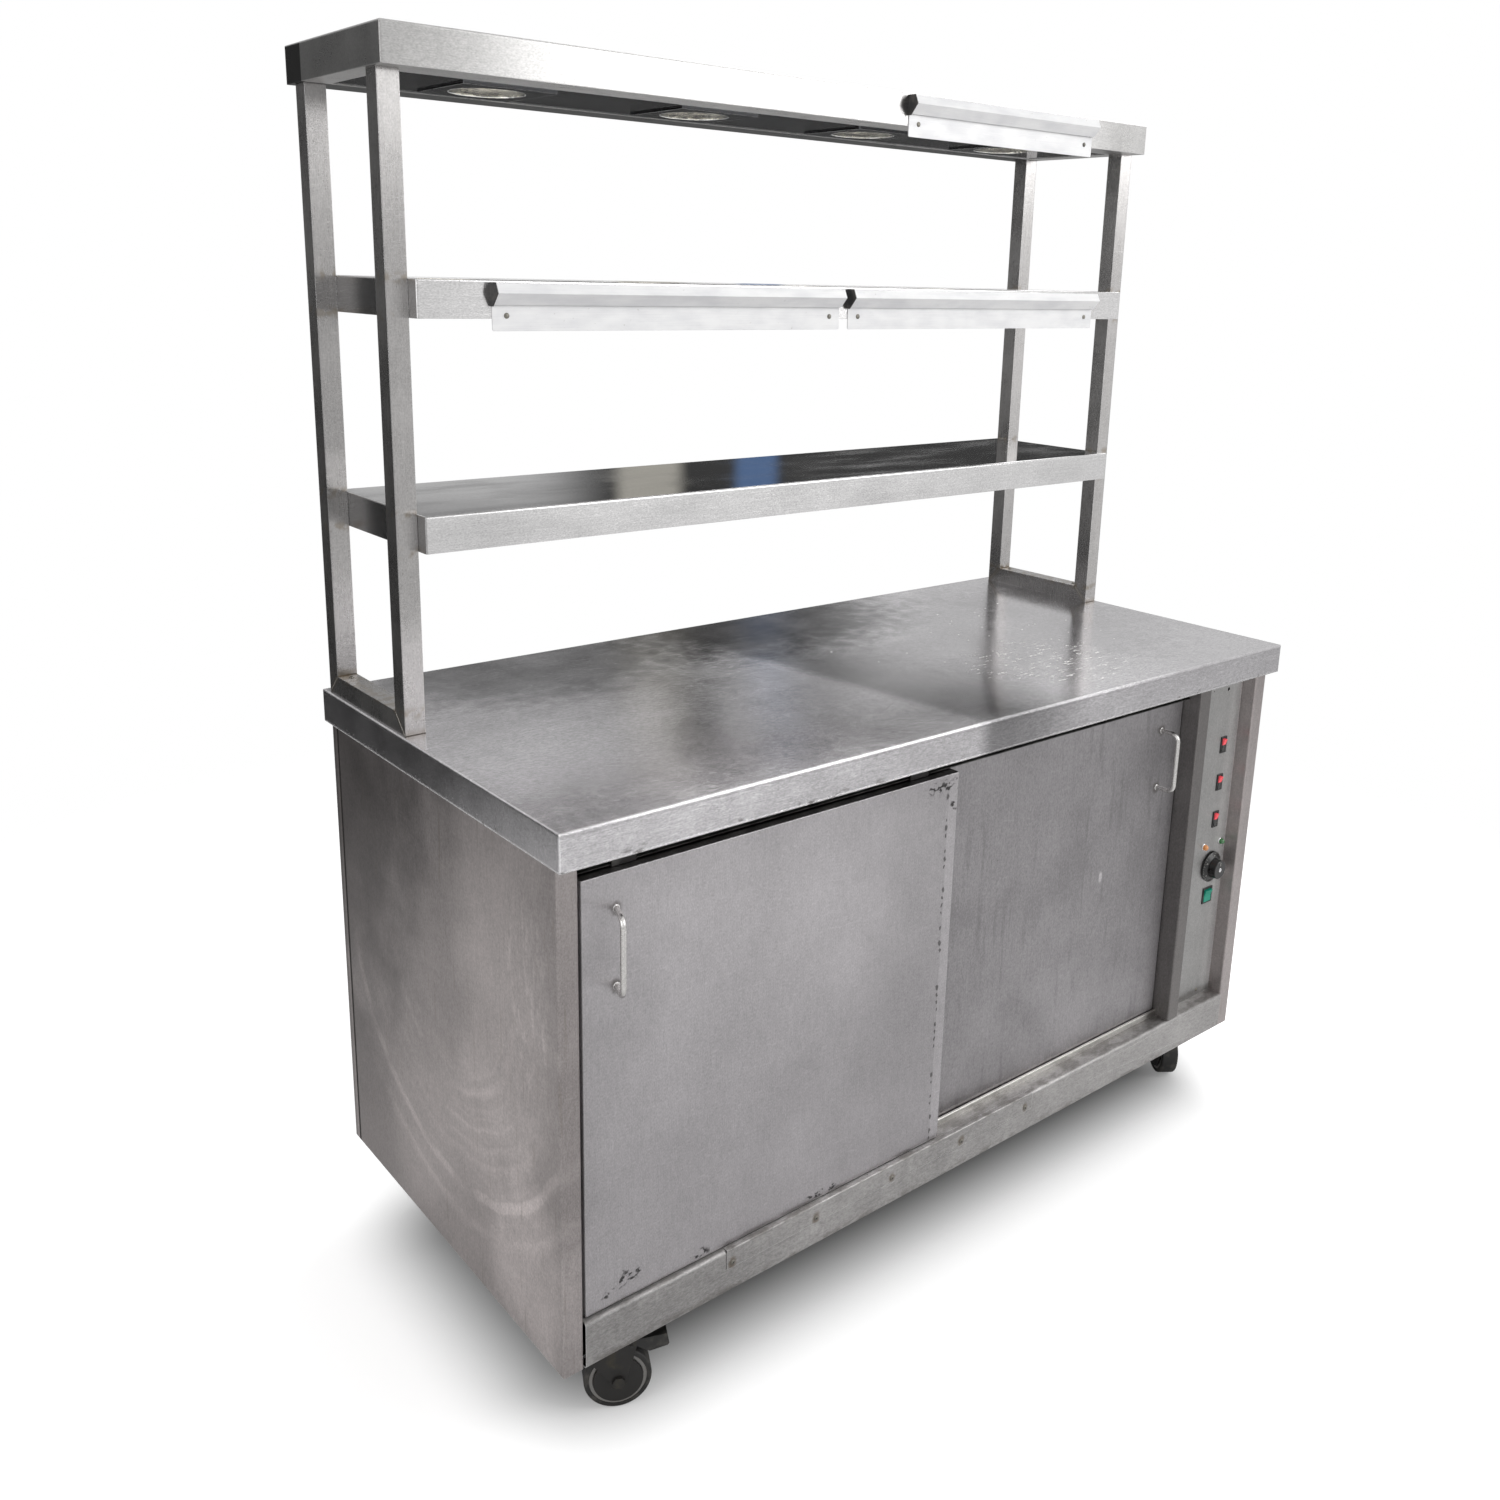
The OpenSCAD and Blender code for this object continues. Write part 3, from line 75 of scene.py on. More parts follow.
ahead = Vector((-math.sin(YAW) * math.cos(PITCH), math.cos(YAW) * math.cos(PITCH), math.sin(PITCH)))
level = ahead.cross(Vector((0, 0, 1))).normalized()
upright = level.cross(ahead)
right = math.cos(ROLL) * level + math.sin(ROLL) * upright
up = math.cos(ROLL) * upright - math.sin(ROLL) * level

lens = bpy.data.cameras.new("studio_camera")
lens.lens = 33.167
lens.sensor_width = 36
lens.shift_x = -0.0173
lens.shift_y = -0.0788
lens.clip_start = 0.05
camera = bpy.data.objects.new("studio_camera", lens)
camera.matrix_world = Matrix.Translation(CAMERA_AT) @ Matrix((right, up, -ahead)).transposed().to_4x4()
bpy.context.scene.collection.objects.link(camera)
bpy.context.scene.camera = camera
print("camera", round((CAMERA_AT - (cad_low + cad_high) / 2).length, 2), "m from the middle")

# %% [markdown]
# ## Colour and node helpers
# Paint shops and screens write colours as sRGB hex, while the renderer adds light in linear
# values, so one function turns one into the other. Another one adds a shader node, sets it and
# links it in one line, which keeps each material below short enough to read. All helpers work on
# the tree in hand, the one of the material or world that was started last.

# %% Helpers for colours and nodes
def linear(hex_colour):
    """A colour written as sRGB hex, in the linear values that the renderer uses, opaque."""
    parts = [int(hex_colour[i:i + 2], 16) / 255 for i in (1, 3, 5)]
    return tuple(p / 12.92 if p <= 0.04045 else ((p + 0.055) / 1.055) ** 2.4 for p in parts) + (1,)


def add(kind, inputs=None, **settings):
    """Adds a shader node. Inputs are values or other nodes' sockets, by the socket's name or number."""
    made = tree.nodes.new("ShaderNode" + kind)
    for name, value in settings.items():
        setattr(made, name, value)
    for name, value in (inputs or {}).items():
        if isinstance(value, bpy.types.NodeSocket):
            tree.links.new(value, made.inputs[name])
        else:
            made.inputs[name].default_value = value
    return made


def sums(operation, a, b=0.0, c=0.0):
    """One arithmetic step on numbers or sockets."""
    return add("Math", {0: a, 1: b, 2: c}, operation=operation).outputs[0]


def product(first, *others):
    """Multiplies masks or numbers: masks leave 1 only where all of them are 1."""
    for other in others:
        first = sums("MULTIPLY", first, other)
    return first


def swing(pattern, strength, level):
    """Adds a pattern's ups and downs about 0.5, times strength, to a level."""
    return sums("MULTIPLY_ADD", sums("SUBTRACT", pattern, 0.5), strength, level)


def ramp(value, low, high, to_low=0.0, to_high=1.0):
    """Stretches low..high to to_low..to_high with soft ends, and holds it there outside."""
    return add("MapRange", {"Value": value, "From Min": low, "From Max": high,
                            "To Min": to_low, "To Max": to_high},
               interpolation_type="SMOOTHSTEP").outputs[0]


def blend_colours(factor, first, second, way="MIX"):
    """Mixes two colours or colour sockets."""
    return add("Mix", {0: factor, 6: first, 7: second}, data_type="RGBA", blend_type=way).outputs[2]


def start(name):
    """Takes a new material's empty tree in hand. Returns the material, its output, the place in metres."""
    global tree
    material = bpy.data.materials.new(name)
    material.use_nodes = True
    tree = material.node_tree
    tree.nodes.clear()
    return material, add("OutputMaterial"), add("TexCoord").outputs["Object"]


def noise(place, size, detail=2.0, stretch=(1, 1, 1), turn=(0, 0, 0)):
    """Cloudy noise whose patches are about size metres across, longer by stretch."""
    scale = [1 / (size * s) for s in stretch]
    laid = add("Mapping", {"Vector": place, "Scale": scale, "Rotation": turn}, vector_type="POINT")
    return add("TexNoise", {"Vector": laid.outputs[0], "Scale": 1.0, "Detail": detail}).outputs["Fac"]


def near(place, axis, at, reach):
    """1 on the plane axis = at, falling to 0 at reach metres from it."""
    value = add("SeparateXYZ", {0: place}).outputs["xyz".index(axis)]
    gap = sums("ABSOLUTE", sums("SUBTRACT", value, at))
    return ramp(gap, 0.0, reach, 1.0, 0.0)


def band(value, low, high, soft):
    """1 where value lies between low and high, with ends that are soft wide."""
    return product(ramp(value, low - soft, low + soft), ramp(value, high + soft, high - soft))


def blot(place, at, size, rim=None, ragged=0.6):
    """1 around a point, 0 outside an ellipsoid of the half sizes; a noise socket as rim makes it ragged."""
    away = add("VectorMath", {0: place, 1: at}, operation="SUBTRACT").outputs[0]
    away = add("VectorMath", {0: away, 1: size}, operation="DIVIDE").outputs[0]
    away = add("VectorMath", {0: away}, operation="LENGTH").outputs["Value"]
    if rim:
        away = swing(rim, 2 * ragged, away)
    return ramp(away, 0.4, 1.0, 1.0, 0.0)


def relief(height, depth, strength, fold):
    """A normal with fine relief of a depth in mm, over edges rounded off by fold mm."""
    rounded = add("Bevel", {"Radius": fold * MM}, samples=3).outputs[0]
    return add("Bump", {"Height": height, "Distance": depth * MM, "Strength": strength,
                        "Normal": rounded}).outputs[0]


def finish(material, *names):
    """Puts a material on parts of the CAD model."""
    for name in names:
        slots = nodes[name].data.materials
        if len(slots) == 0:
            slots.append(material)
        for i in range(len(slots)):
            slots[i] = material


print("sRGB #808080 is", round(linear("#808080")[0], 3), "in linear light")

# %% [markdown]
# ## Satin stainless steel
# Nearly everything here is 1 to 1.5 mm stainless sheet with a satin mill polish. On the real
# thing three layers make the look: hairlines from the polishing belt, all one way; broad cloudy
# patches where it was wiped or has dulled; and years of loose scratches in all directions. Each
# layer is a noise pattern of its own size. Along the folded edges a pale colour is mixed in as a
# painted highlight.
#
# The hairlines of a 180 grit belt are about 0.1 mm apart, too fine for a picture of the whole
# cupboard, so they are drawn about 1 mm apart. A bevelled normal rounds the folded edges off by
# the 1 mm that sheet really bends at, which also catches the light along them.
#
# Hairlines spread a reflection across themselves and keep it sharp along themselves, which is why
# a polished top shows a far post as a long streak. The shader's anisotropy does the same, with its
# tangent laid across the belt's direction.

# %% The satin steel, with a few settings for each sheet
def satin_steel(name, tone, roughness, belt="z", face="y", scratches=0.5, clouds=0.5, waves=0.3,
                grime=0.3, marks=None, fold=1.2, pits=1.1):
    """Polished sheet: belt is the way its hairlines run, face is the axis that its main face looks along,
    fold is the radius of its edges in mm, pits is how mottled it is from wear."""
    material, output, place = start(name)
    along = [60 if axis == belt else 1 for axis in "xyz"]
    hairlines = noise(place, 1.1 * MM, 2.0, along)
    patches = noise(place, 75 * MM, 4.0)
    cloud = noise(place, 380 * MM, 2.0)
    pores = noise(place, 5 * MM, 5.0, [2 if axis == belt else 1 for axis in "xyz"])
    grain = noise(place, 1.7 * MM, 3.0, [2 if axis == belt else 1 for axis in "xyz"])

    rubs = None
    for turn, threshold in ((25, 0.66), (82, 0.65), (140, 0.67)):
        spin = [math.radians(turn) if axis == face else 0.0 for axis in "xyz"]
        bent = add("VectorMath", {0: place, 1: add("VectorMath", {
            0: add("TexNoise", {"Vector": place, "Scale": 9.0}).outputs["Color"],
            1: (0.05, 0.05, 0.05)}, operation="MULTIPLY").outputs[0]}, operation="ADD").outputs[0]
        long_axis = "y" if face == "x" else "x"
        lines = noise(bent, 1.6 * MM, 1.0, [55 if axis == long_axis else 1 for axis in "xyz"], spin)
        thin = ramp(lines, threshold, threshold + 0.06)
        rubs = thin if rubs is None else sums("MAXIMUM", rubs, thin)

    rounded = add("Bevel", {"Radius": fold * MM}, samples=4).outputs[0]
    flat = add("NewGeometry").outputs["Normal"]
    turned = add("VectorMath", {0: rounded, 1: flat}, operation="DOT_PRODUCT").outputs["Value"]
    edge = ramp(turned, 0.99, 0.86)

    dirt = add("TexVoronoi", {"Vector": place, "Scale": 1 / (16 * MM)})
    speck_here = ramp(dirt.outputs["Color"], 0.80, 0.82)
    speck = product(ramp(dirt.outputs["Distance"], 0.08, 0.04), speck_here, grime)

    shade = swing(cloud, 1.6 * clouds, 0.5)
    shade = swing(patches, 1.1 * clouds, shade)
    shade = swing(hairlines, 0.45, shade)
    shade = swing(grain, 1.3, shade)
    shade = swing(pores, pits * clouds, shade)
    shade = sums("MULTIPLY_ADD", rubs, 0.45 * scratches, shade)
    base = linear(tone)
    darker = tuple(v * 0.72 for v in base[:3]) + (1,)
    lighter = tuple(min(v * 1.28, 0.97) for v in base[:3]) + (1,)
    colour = blend_colours(add("Clamp", {0: shade}).outputs[0], darker, lighter)
    colour = blend_colours(speck, colour, linear("#3b3733"))
    # Painted highlight: a pale colour mixed in along the rounded edges.
    colour = blend_colours(product(edge, 0.80), colour, linear("#ecebeb"))

    rough = swing(patches, 0.22 * clouds, roughness)
    rough = sums("MULTIPLY_ADD", hairlines, 0.05, rough)
    rough = sums("MULTIPLY_ADD", rubs, 0.10 * scratches, rough)
    rough = sums("MULTIPLY_ADD", speck, 0.3, rough)

    height = sums("MULTIPLY_ADD", noise(place, 260 * MM, 1.0), 8.0 * waves, 0.0)
    height = sums("MULTIPLY_ADD", patches, 0.8 * waves, height)
    height = sums("MULTIPLY_ADD", hairlines, 0.020, height)
    height = sums("MULTIPLY_ADD", rubs, -0.02 * scratches, height)
    layers = {"colour": colour, "rough": rough, "height": height, "cover": None}
    if marks:
        marks(place, layers)
    bump = add("Bump", {"Height": layers["height"], "Distance": 0.1 * MM, "Strength": 1.0,
                        "Normal": rounded})
    hair_way = [1.0 if axis == belt else 0.03 + 0.01 * "xyz".index(axis) for axis in "xyz"]
    across = add("VectorMath", {0: flat, 1: hair_way}, operation="CROSS_PRODUCT").outputs[0]
    shader = add("BsdfPrincipled", {"Base Color": layers["colour"], "Metallic": 1.0,
                                    "Anisotropic": 0.9, "Tangent": across,
                                    "Roughness": layers["rough"], "Normal": bump.outputs[0]})
    if layers["cover"]:
        tree.links.new(sums("SUBTRACT", 1.0, layers["cover"]), shader.inputs["Metallic"])
    tree.links.new(shader.outputs[0], output.inputs["Surface"])
    return material


def stain(layers, mask, colour, strength=1.0, dull=0.0):
    """Lays a thin film of a colour over the steel where mask is 1, and makes it duller there."""
    part = product(mask, strength)
    layers["colour"] = blend_colours(part, layers["colour"], linear(colour))
    if dull:
        layers["rough"] = sums("MULTIPLY_ADD", part, dull, layers["rough"])


def shade_by(layers, mask, times):
    """Multiplies the steel's tone by times where mask is 1: below 1 it dulls, above 1 it brightens."""
    grey = (times, times, times, 1)
    layers["colour"] = blend_colours(mask, layers["colour"],
                                     blend_colours(1.0, layers["colour"], grey, "MULTIPLY"))


def crust(layers, mask, colour):
    """Dried splashes: an opaque chalky crust that isn't metal."""
    stain(layers, mask, colour, 1.0, 0.35)
    layers["cover"] = sums("MAXIMUM", layers["cover"], mask) if layers["cover"] else mask


# %% [markdown]
# ## The marks of use
# A used cupboard is told from a new one by marks that sit in one place: dried splashes on the
# worktop where plates are filled, arcs on the side where a cloth went round and round, dots down
# the edge of the door where its fold is spot welded, dirt in the corners of the rail. Each sheet
# gets a small function that lays such marks over its steel. The same functions also lay painted
# light and shade: lighter and darker patches that stand in for reflections, painted highlights
# and a painted glint. The places are in metres on the part, so the marks stay with the sheet from
# every side and when a door moves.

# %% Marks on the worktop and the side panels
def shade_spots(place, layers, rim, spots):
    """Shades ragged spots, each with its middle, half sizes, raggedness and how many times as bright."""
    for middle, size, ragged, times in spots:
        shade_by(layers, blot(place, middle, size, rim, ragged), times)


def worktop_marks(place, layers):
    """A painted dark band over the middle stiffener, painted light and dark patches of reflection, dried
    splashes, scuffs on the folded edge, painted highlights on the front and the left end.
    """
    x, y, z = add("SeparateXYZ", {0: place}).outputs
    rim = noise(place, 30 * MM, 4.0)
    fine = noise(place, 2.2 * MM, 3.0)
    wander = sums("MULTIPLY_ADD", y, 0.12, x)
    # Painted shade: a darker band across the middle, standing in for a dark reflection.
    painted_dark_band = product(ramp(wander, -0.100, -0.055), ramp(wander, 0.22, -0.05))
    shade_by(layers, painted_dark_band, 0.44)
    # Painted reflection: the rear and the right middle darker, the near left lighter as a sheen.
    shade_spots(place, layers, rim, (((0.06, 0.31, 0.9), (0.40, 0.26, 0.1), 0.3, 0.24),
                                     ((-0.42, 0.30, 0.9), (0.38, 0.26, 0.1), 0.3, 0.42),
                                     ((0.42, 0.02, 0.9), (0.48, 0.36, 0.1), 0.4, 0.80),
                                     ((-0.46, -0.16, 0.9), (0.44, 0.26, 0.1), 0.3, 1.24)))
    drops = add("TexVoronoi", {"Vector": place, "Scale": 1 / (13 * MM)})
    dense = blot(place, (0.30, -0.17, 0.9), (0.20, 0.17, 0.1), rim, 0.5)
    sparse = blot(place, (0.36, -0.02, 0.9), (0.42, 0.36, 0.1), rim, 0.6)
    chosen = ramp(drops.outputs["Color"], 0.80, 0.82)
    spots = product(ramp(drops.outputs["Distance"], 0.17, 0.12), chosen, sparse)
    runs = noise(place, 7 * MM, 3.0, (3.2, 1, 1), (0, 0, 0.45))
    smeared = product(ramp(runs, 0.61, 0.65), dense, ramp(fine, 0.40, 0.52))
    crust(layers, sums("MAXIMUM", spots, smeared), "#fbfaf7")
    on_edge = sums("LESS_THAN", z, 0.888)
    low_edge = ramp(z, 0.863, 0.845)
    scuffs = product(ramp(noise(place, 9 * MM, 5.0, (2.5, 1, 1)), 0.60, 0.70), low_edge)
    stain(layers, product(scuffs, on_edge), "#38332e", 0.75, 0.3)
    # Painted highlight: the front fascia is made lighter towards the left.
    front_left = product(ramp(x, 0.75, 0.15), sums("LESS_THAN", y, -0.34))
    shade_by(layers, product(on_edge, front_left), 1.12)
    # Painted light on the left end of the worktop.
    shade_by(layers, sums("LESS_THAN", x, -0.7485), 1.24)


def panel_marks(place, layers):
    """Arcs of a wiping cloth; painted light and dark patches of reflection on the left, darkest high up; a
    painted highlight beside the rear seam; painted light in the recess on the right.
    """
    x, y, z = add("SeparateXYZ", {0: place}).outputs
    rim = noise(place, 90 * MM, 4.0)
    left = sums("LESS_THAN", x, -0.7)
    # Painted light and dark patches that stand in for reflections on the left panel.
    shade_spots(place, layers, rim, (((-0.744, 0.38, 0.80), (0.3, 0.46, 0.58), 0.35, 0.50),
                                     ((-0.744, -0.06, 0.26), (0.3, 0.36, 0.26), 0.4, 1.25),
                                     ((-0.744, 0.30, 0.20), (0.3, 0.20, 0.22), 0.3, 0.78),
                                     ((-0.744, -0.18, 0.62), (0.3, 0.16, 0.42), 0.4, 1.26),
                                     ((-0.744, -0.24, 0.24), (0.3, 0.14, 0.20), 0.4, 1.32),
                                     ((-0.744, 0.28, 0.42), (0.3, 0.20, 0.26), 0.4, 0.86)))
    flat = add("CombineXYZ", {1: y, 2: z}).outputs[0]
    from_hub = add("VectorMath", {0: flat, 1: (0.0, -0.03, 0.60)}, operation="DISTANCE").outputs["Value"]
    from_hub = sums("MULTIPLY_ADD", rim, 0.03, from_hub)
    wipes = add("TexNoise", {"W": from_hub, "Scale": 1 / (26 * MM), "Detail": 3.0},
                noise_dimensions="1D").outputs["Fac"]
    wipes = product(ramp(wipes, 0.42, 0.74), band(from_hub, 0.15, 0.42, 0.06), ramp(z, 0.62, 0.42), left,
                    ramp(rim, 0.36, 0.58))
    shade_by(layers, wipes, 1.30)
    layers["rough"] = sums("MULTIPLY_ADD", wipes, 0.08, layers["rough"])
    hand = noise(place, 10 * MM, 5.0, (1, 1, 3.4))
    hand = product(ramp(hand, 0.50, 0.70),
                   blot(place, (-0.744, -0.25, 0.66), (0.2, 0.08, 0.22), rim, 0.4))
    shade_by(layers, hand, 1.22)
    stain(layers, near(place, "y", 0.3195, 0.0050), "#1f1c1a", 1.0, 0.2)
    # Painted highlight along the fold beside the dark seam.
    shade_by(layers, near(place, "y", 0.3265, 0.0050), 1.45)
    drips = noise(place, 7 * MM, 3.0, (1, 1, 14))
    stain(layers, product(ramp(drips, 0.60, 0.74), rim), "#7c7267", 0.45)
    # Painted light in the recess beside the control panel.
    painted_light_in_recess = product(sums("GREATER_THAN", x, 0.57), sums("LESS_THAN", y, -0.25))
    shade_by(layers, painted_light_in_recess, 1.25)


print("marks for the worktop and the panels")

# %% Marks on the doors, the rail and the frames
# Height of the worktop, under and top of the two shelves, front and rear of the end frames, their tube.
TOP_Z, SHELF_ZS, POST_YS, TUBE = 0.895, (1.150, 1.200, 1.455, 1.505), (0.07314, 0.33414), 0.030
# The spot welds down the front door's fold.
DOT_X, DOT_PITCH = -0.0775, 0.0125
GUARD_SCREW_XS = [-0.472 + i * 0.15425 for i in range(5)]
# Rubbed black spots on the front door: x, z, half width and half height in metres.
RUBBED = ((-0.080, 0.797, 0.050, 0.014), (-0.062, 0.765, 0.012, 0.012), (-0.523, 0.209, 0.020, 0.008),
          (-0.676, 0.217, 0.008, 0.008), (-0.640, 0.230, 0.030, 0.012), (-0.300, 0.208, 0.040, 0.006))
HANDLE_FEET = [(x, y, 0.715 + end * 0.0525) for x, y in ((-0.657, -0.318), (0.486, -0.290))
               for end in (-1, 1)]


def door_marks(place, layers):
    """The front door's welded fold and rubbed corners, the rear door's streaks, stains at the handles;
    painted shade on the rear door, painted light low down and on the front door's left, a painted glint on a
    dent.
    """
    x, y, z = add("SeparateXYZ", {0: place}).outputs
    rim = noise(place, 12 * MM, 4.0)
    broad = noise(place, 130 * MM, 3.0)
    front = sums("LESS_THAN", y, -0.303)
    rear = sums("SUBTRACT", 1.0, front)
    left_side = sums("LESS_THAN", x, -0.03)
    own_fold = product(front, left_side)
    shade_by(layers, product(own_fold, ramp(x, -0.0760, -0.0745)), 1.16)
    shade_by(layers, product(own_fold, near(place, "x", -0.0565, 0.0012)), 0.45)
    step = sums("DIVIDE", z, DOT_PITCH)
    slot_number = sums("FLOOR", step)
    off_z = product(sums("SUBTRACT", sums("FRACT", step), 0.5), DOT_PITCH)
    off_x = sums("MULTIPLY_ADD", rim, 0.012, sums("SUBTRACT", x, DOT_X + 0.006))
    off = add("CombineXYZ", {0: off_x, 1: product(off_z, 0.55)}).outputs[0]
    off = add("VectorMath", {0: off}, operation="LENGTH").outputs["Value"]
    luck = add("TexWhiteNoise", {"W": slot_number}, noise_dimensions="1D").outputs["Value"]
    off = sums("DIVIDE", off, sums("ADD", luck, 0.35))
    weld = product(ramp(off, 0.0028, 0.0014), sums("GREATER_THAN", luck, 0.30))
    stain(layers, product(weld, own_fold), "#3a3734", 0.62, 0.2)
    scrape = ramp(noise(place, 6 * MM, 6.0, (1.8, 1, 1.2), (0, 0.5, 0)), 0.50, 0.58)
    rubs = None
    for rub_x, rub_z, wide, tall in RUBBED:
        spot = blot(place, (rub_x, -0.318, rub_z), (wide, 0.03, tall), rim, 0.9)
        rubs = spot if rubs is None else sums("MAXIMUM", rubs, spot)
    stain(layers, product(rubs, front, scrape), "#24211f", 0.80, 0.3)
    streak = noise(place, 16 * MM, 3.0, (1, 1, 9))
    shade_by(layers, product(ramp(streak, 0.55, 0.70), rear), 0.86)
    shade_by(layers, product(ramp(broad, 0.45, 0.7), rear), 0.88)
    # Painted shade and light: the rear door darker, most towards its right; both doors lighter low down; the
    # front door lighter on its left.
    shade_by(layers, rear, 0.84)
    shade_by(layers, ramp(z, 0.50, 0.22), 1.18)
    shade_by(layers, product(ramp(x, 0.28, 0.54), rear), 0.88)
    shade_by(layers, product(blot(place, (-0.44, -0.32, 0.62), (0.36, 0.1, 0.34), broad, 0.5),
                             front), 1.20)
    # Painted highlight: a glint on a small dent in the rear door.
    painted_dent_glint = blot(place, (0.348, -0.29, 0.527), (0.006, 0.02, 0.014))
    shade_by(layers, product(painted_dent_glint, rear), 1.8)
    for foot in HANDLE_FEET:
        ring = blot(place, foot, (0.013, 0.03, 0.013), rim, 0.5)
        stain(layers, ring, "#4d463f", 0.50, 0.15)


def rail_marks(place, layers):
    """Smears down the face, grime along the sill and the lower edge, stains round the screws."""
    z = add("SeparateXYZ", {0: place}).outputs["Z"]
    rim = noise(place, 16 * MM, 5.0, (2.0, 1, 1))
    smear = noise(place, 10 * MM, 3.0, (1, 1, 8), (0, 0.35, 0))
    shade_by(layers, product(ramp(smear, 0.50, 0.72), ramp(rim, 0.3, 0.7)), 1.12)
    grime = product(near(place, "z", 0.1995, 0.005), ramp(rim, 0.40, 0.62))
    stain(layers, grime, "#3d342b", 0.45, 0.3)
    under = product(ramp(z, 0.147, 0.131), ramp(rim, 0.45, 0.6))
    stain(layers, under, "#4a433c", 0.45, 0.2)
    for screw_x in GUARD_SCREW_XS:
        ring = blot(place, (screw_x, -0.327, 0.177), (0.009, 0.02, 0.011), rim, 0.7)
        stain(layers, ring, "#5a4a35", 0.6, 0.2)


def control_panel_marks(place, layers):
    """Painted shade to the left of the knob."""
    x = add("SeparateXYZ", {0: place}).outputs["X"]
    shade_by(layers, ramp(x, 0.695, 0.670), 0.80)


def shelf_marks(place, layers):
    """Top faces that were never brushed: nearly a mirror, with wiping smears. Ends darkened with painted
    shade.
    """
    top = sums("MAXIMUM", near(place, "z", SHELF_ZS[1], 0.0014), near(place, "z", SHELF_ZS[3], 0.0014))
    wiped = noise(place, 60 * MM, 4.0, (3, 1, 1))
    calm = product(ramp(top, 0.1, 0.5), ramp(wiped, 0.75, 0.35, 0.40, 0.75))
    layers["rough"] = product(layers["rough"], sums("SUBTRACT", 1.0, calm))
    shade_by(layers, ramp(wiped, 0.50, 0.72), 0.90)
    x, y, z = add("SeparateXYZ", {0: place}).outputs
    # Painted shade on the end faces, more on the lower shelves.
    ends = ramp(sums("ABSOLUTE", x), 0.7120, 0.7135)
    shade_by(layers, ends, 0.82)
    shade_by(layers, product(ends, sums("LESS_THAN", z, 1.3)), 0.70)


def frame_marks(place, layers):
    """Weld lines and heat stains at feet and joints, kitchen grease low down, painted shade on the outer
    faces, painted light on the right frame's fronts.
    """
    x, y, z = add("SeparateXYZ", {0: place}).outputs
    rim = noise(place, 14 * MM, 4.0)
    lift = sums("SUBTRACT", z, TOP_Z)
    fore = sums("ABSOLUTE", sums("SUBTRACT", lift, sums("SUBTRACT", y, POST_YS[0])))
    aft = sums("ABSOLUTE", sums("SUBTRACT", lift, sums("SUBTRACT", POST_YS[1], y)))
    gap = sums("MINIMUM", fore, aft)
    low_down = sums("LESS_THAN", lift, 0.031)
    stain(layers, product(ramp(gap, 0.0016, 0.0006), low_down), "#2f2b27", 0.7, 0.25)
    heat = product(ramp(gap, 0.011, 0.002), low_down, rim)
    stain(layers, heat, "#75654c", 0.6, 0.1)
    for joint_z in (TOP_Z + 0.031, *SHELF_ZS):
        blue = product(near(place, "z", joint_z, 0.012), ramp(rim, 0.45, 0.60))
        stain(layers, blue, "#7a6a50", 0.45, 0.1)
    spots = ramp(noise(place, 5 * MM, 4.0), 0.66, 0.74)
    stain(layers, product(spots, ramp(z, 1.5, 0.9)), "#5b5146", 0.6, 0.2)
    # Painted shade on the outer faces.
    outer = ramp(sums("ABSOLUTE", x), 0.7435, 0.7447)
    shade_by(layers, outer, 0.66)
    # Painted light on the front faces of the right frame's posts.
    painted_light_fronts = sums("MAXIMUM", near(place, "y", POST_YS[0], 0.0012),
                  near(place, "y", POST_YS[1] - TUBE, 0.0012))
    shade_by(layers, product(painted_light_fronts, sums("GREATER_THAN", x, 0.7)), 1.30)


def canopy_marks(place, layers):
    """Painted shade in the rear fold above the lamps and on the left end, smears on the front, and a painted
    sheen that makes the front shine more to the right.
    """
    x, y, z = add("SeparateXYZ", {0: place}).outputs
    # Painted shade in the rear fold above the lamps.
    painted_shade_area = product(sums("GREATER_THAN", y, 0.30), sums("LESS_THAN", y, 0.3546),
                     sums("LESS_THAN", z, 1.8030))
    shade_by(layers, painted_shade_area, 0.10)
    wiped = noise(place, 45 * MM, 4.0, (1, 1, 2.5), (0, 0.4, 0))
    shade_by(layers, ramp(wiped, 0.50, 0.75), 0.88)
    # Painted shade on the left end, and a painted sheen that brightens the front towards the right.
    shade_by(layers, ramp(x, -0.7480, -0.7490), 0.68)
    shade_by(layers, ramp(x, 0.15, 0.60), 1.28)


print("dots every", DOT_PITCH * 1000, "mm down the fold of the front door")

# %% [markdown]
# ## Which sheet has which polish
# All sheets are the same alloy, but they have led different lives. The worktop is scratched in
# every direction by pans, the doors have dulled, the canopy out of reach has stayed bright, and
# the undersides and shelves were never sanded, so they are still nearly mirrors. A few tones are
# painted light and shade: the control panel is set lighter, the control column and the lamp tray
# darker.

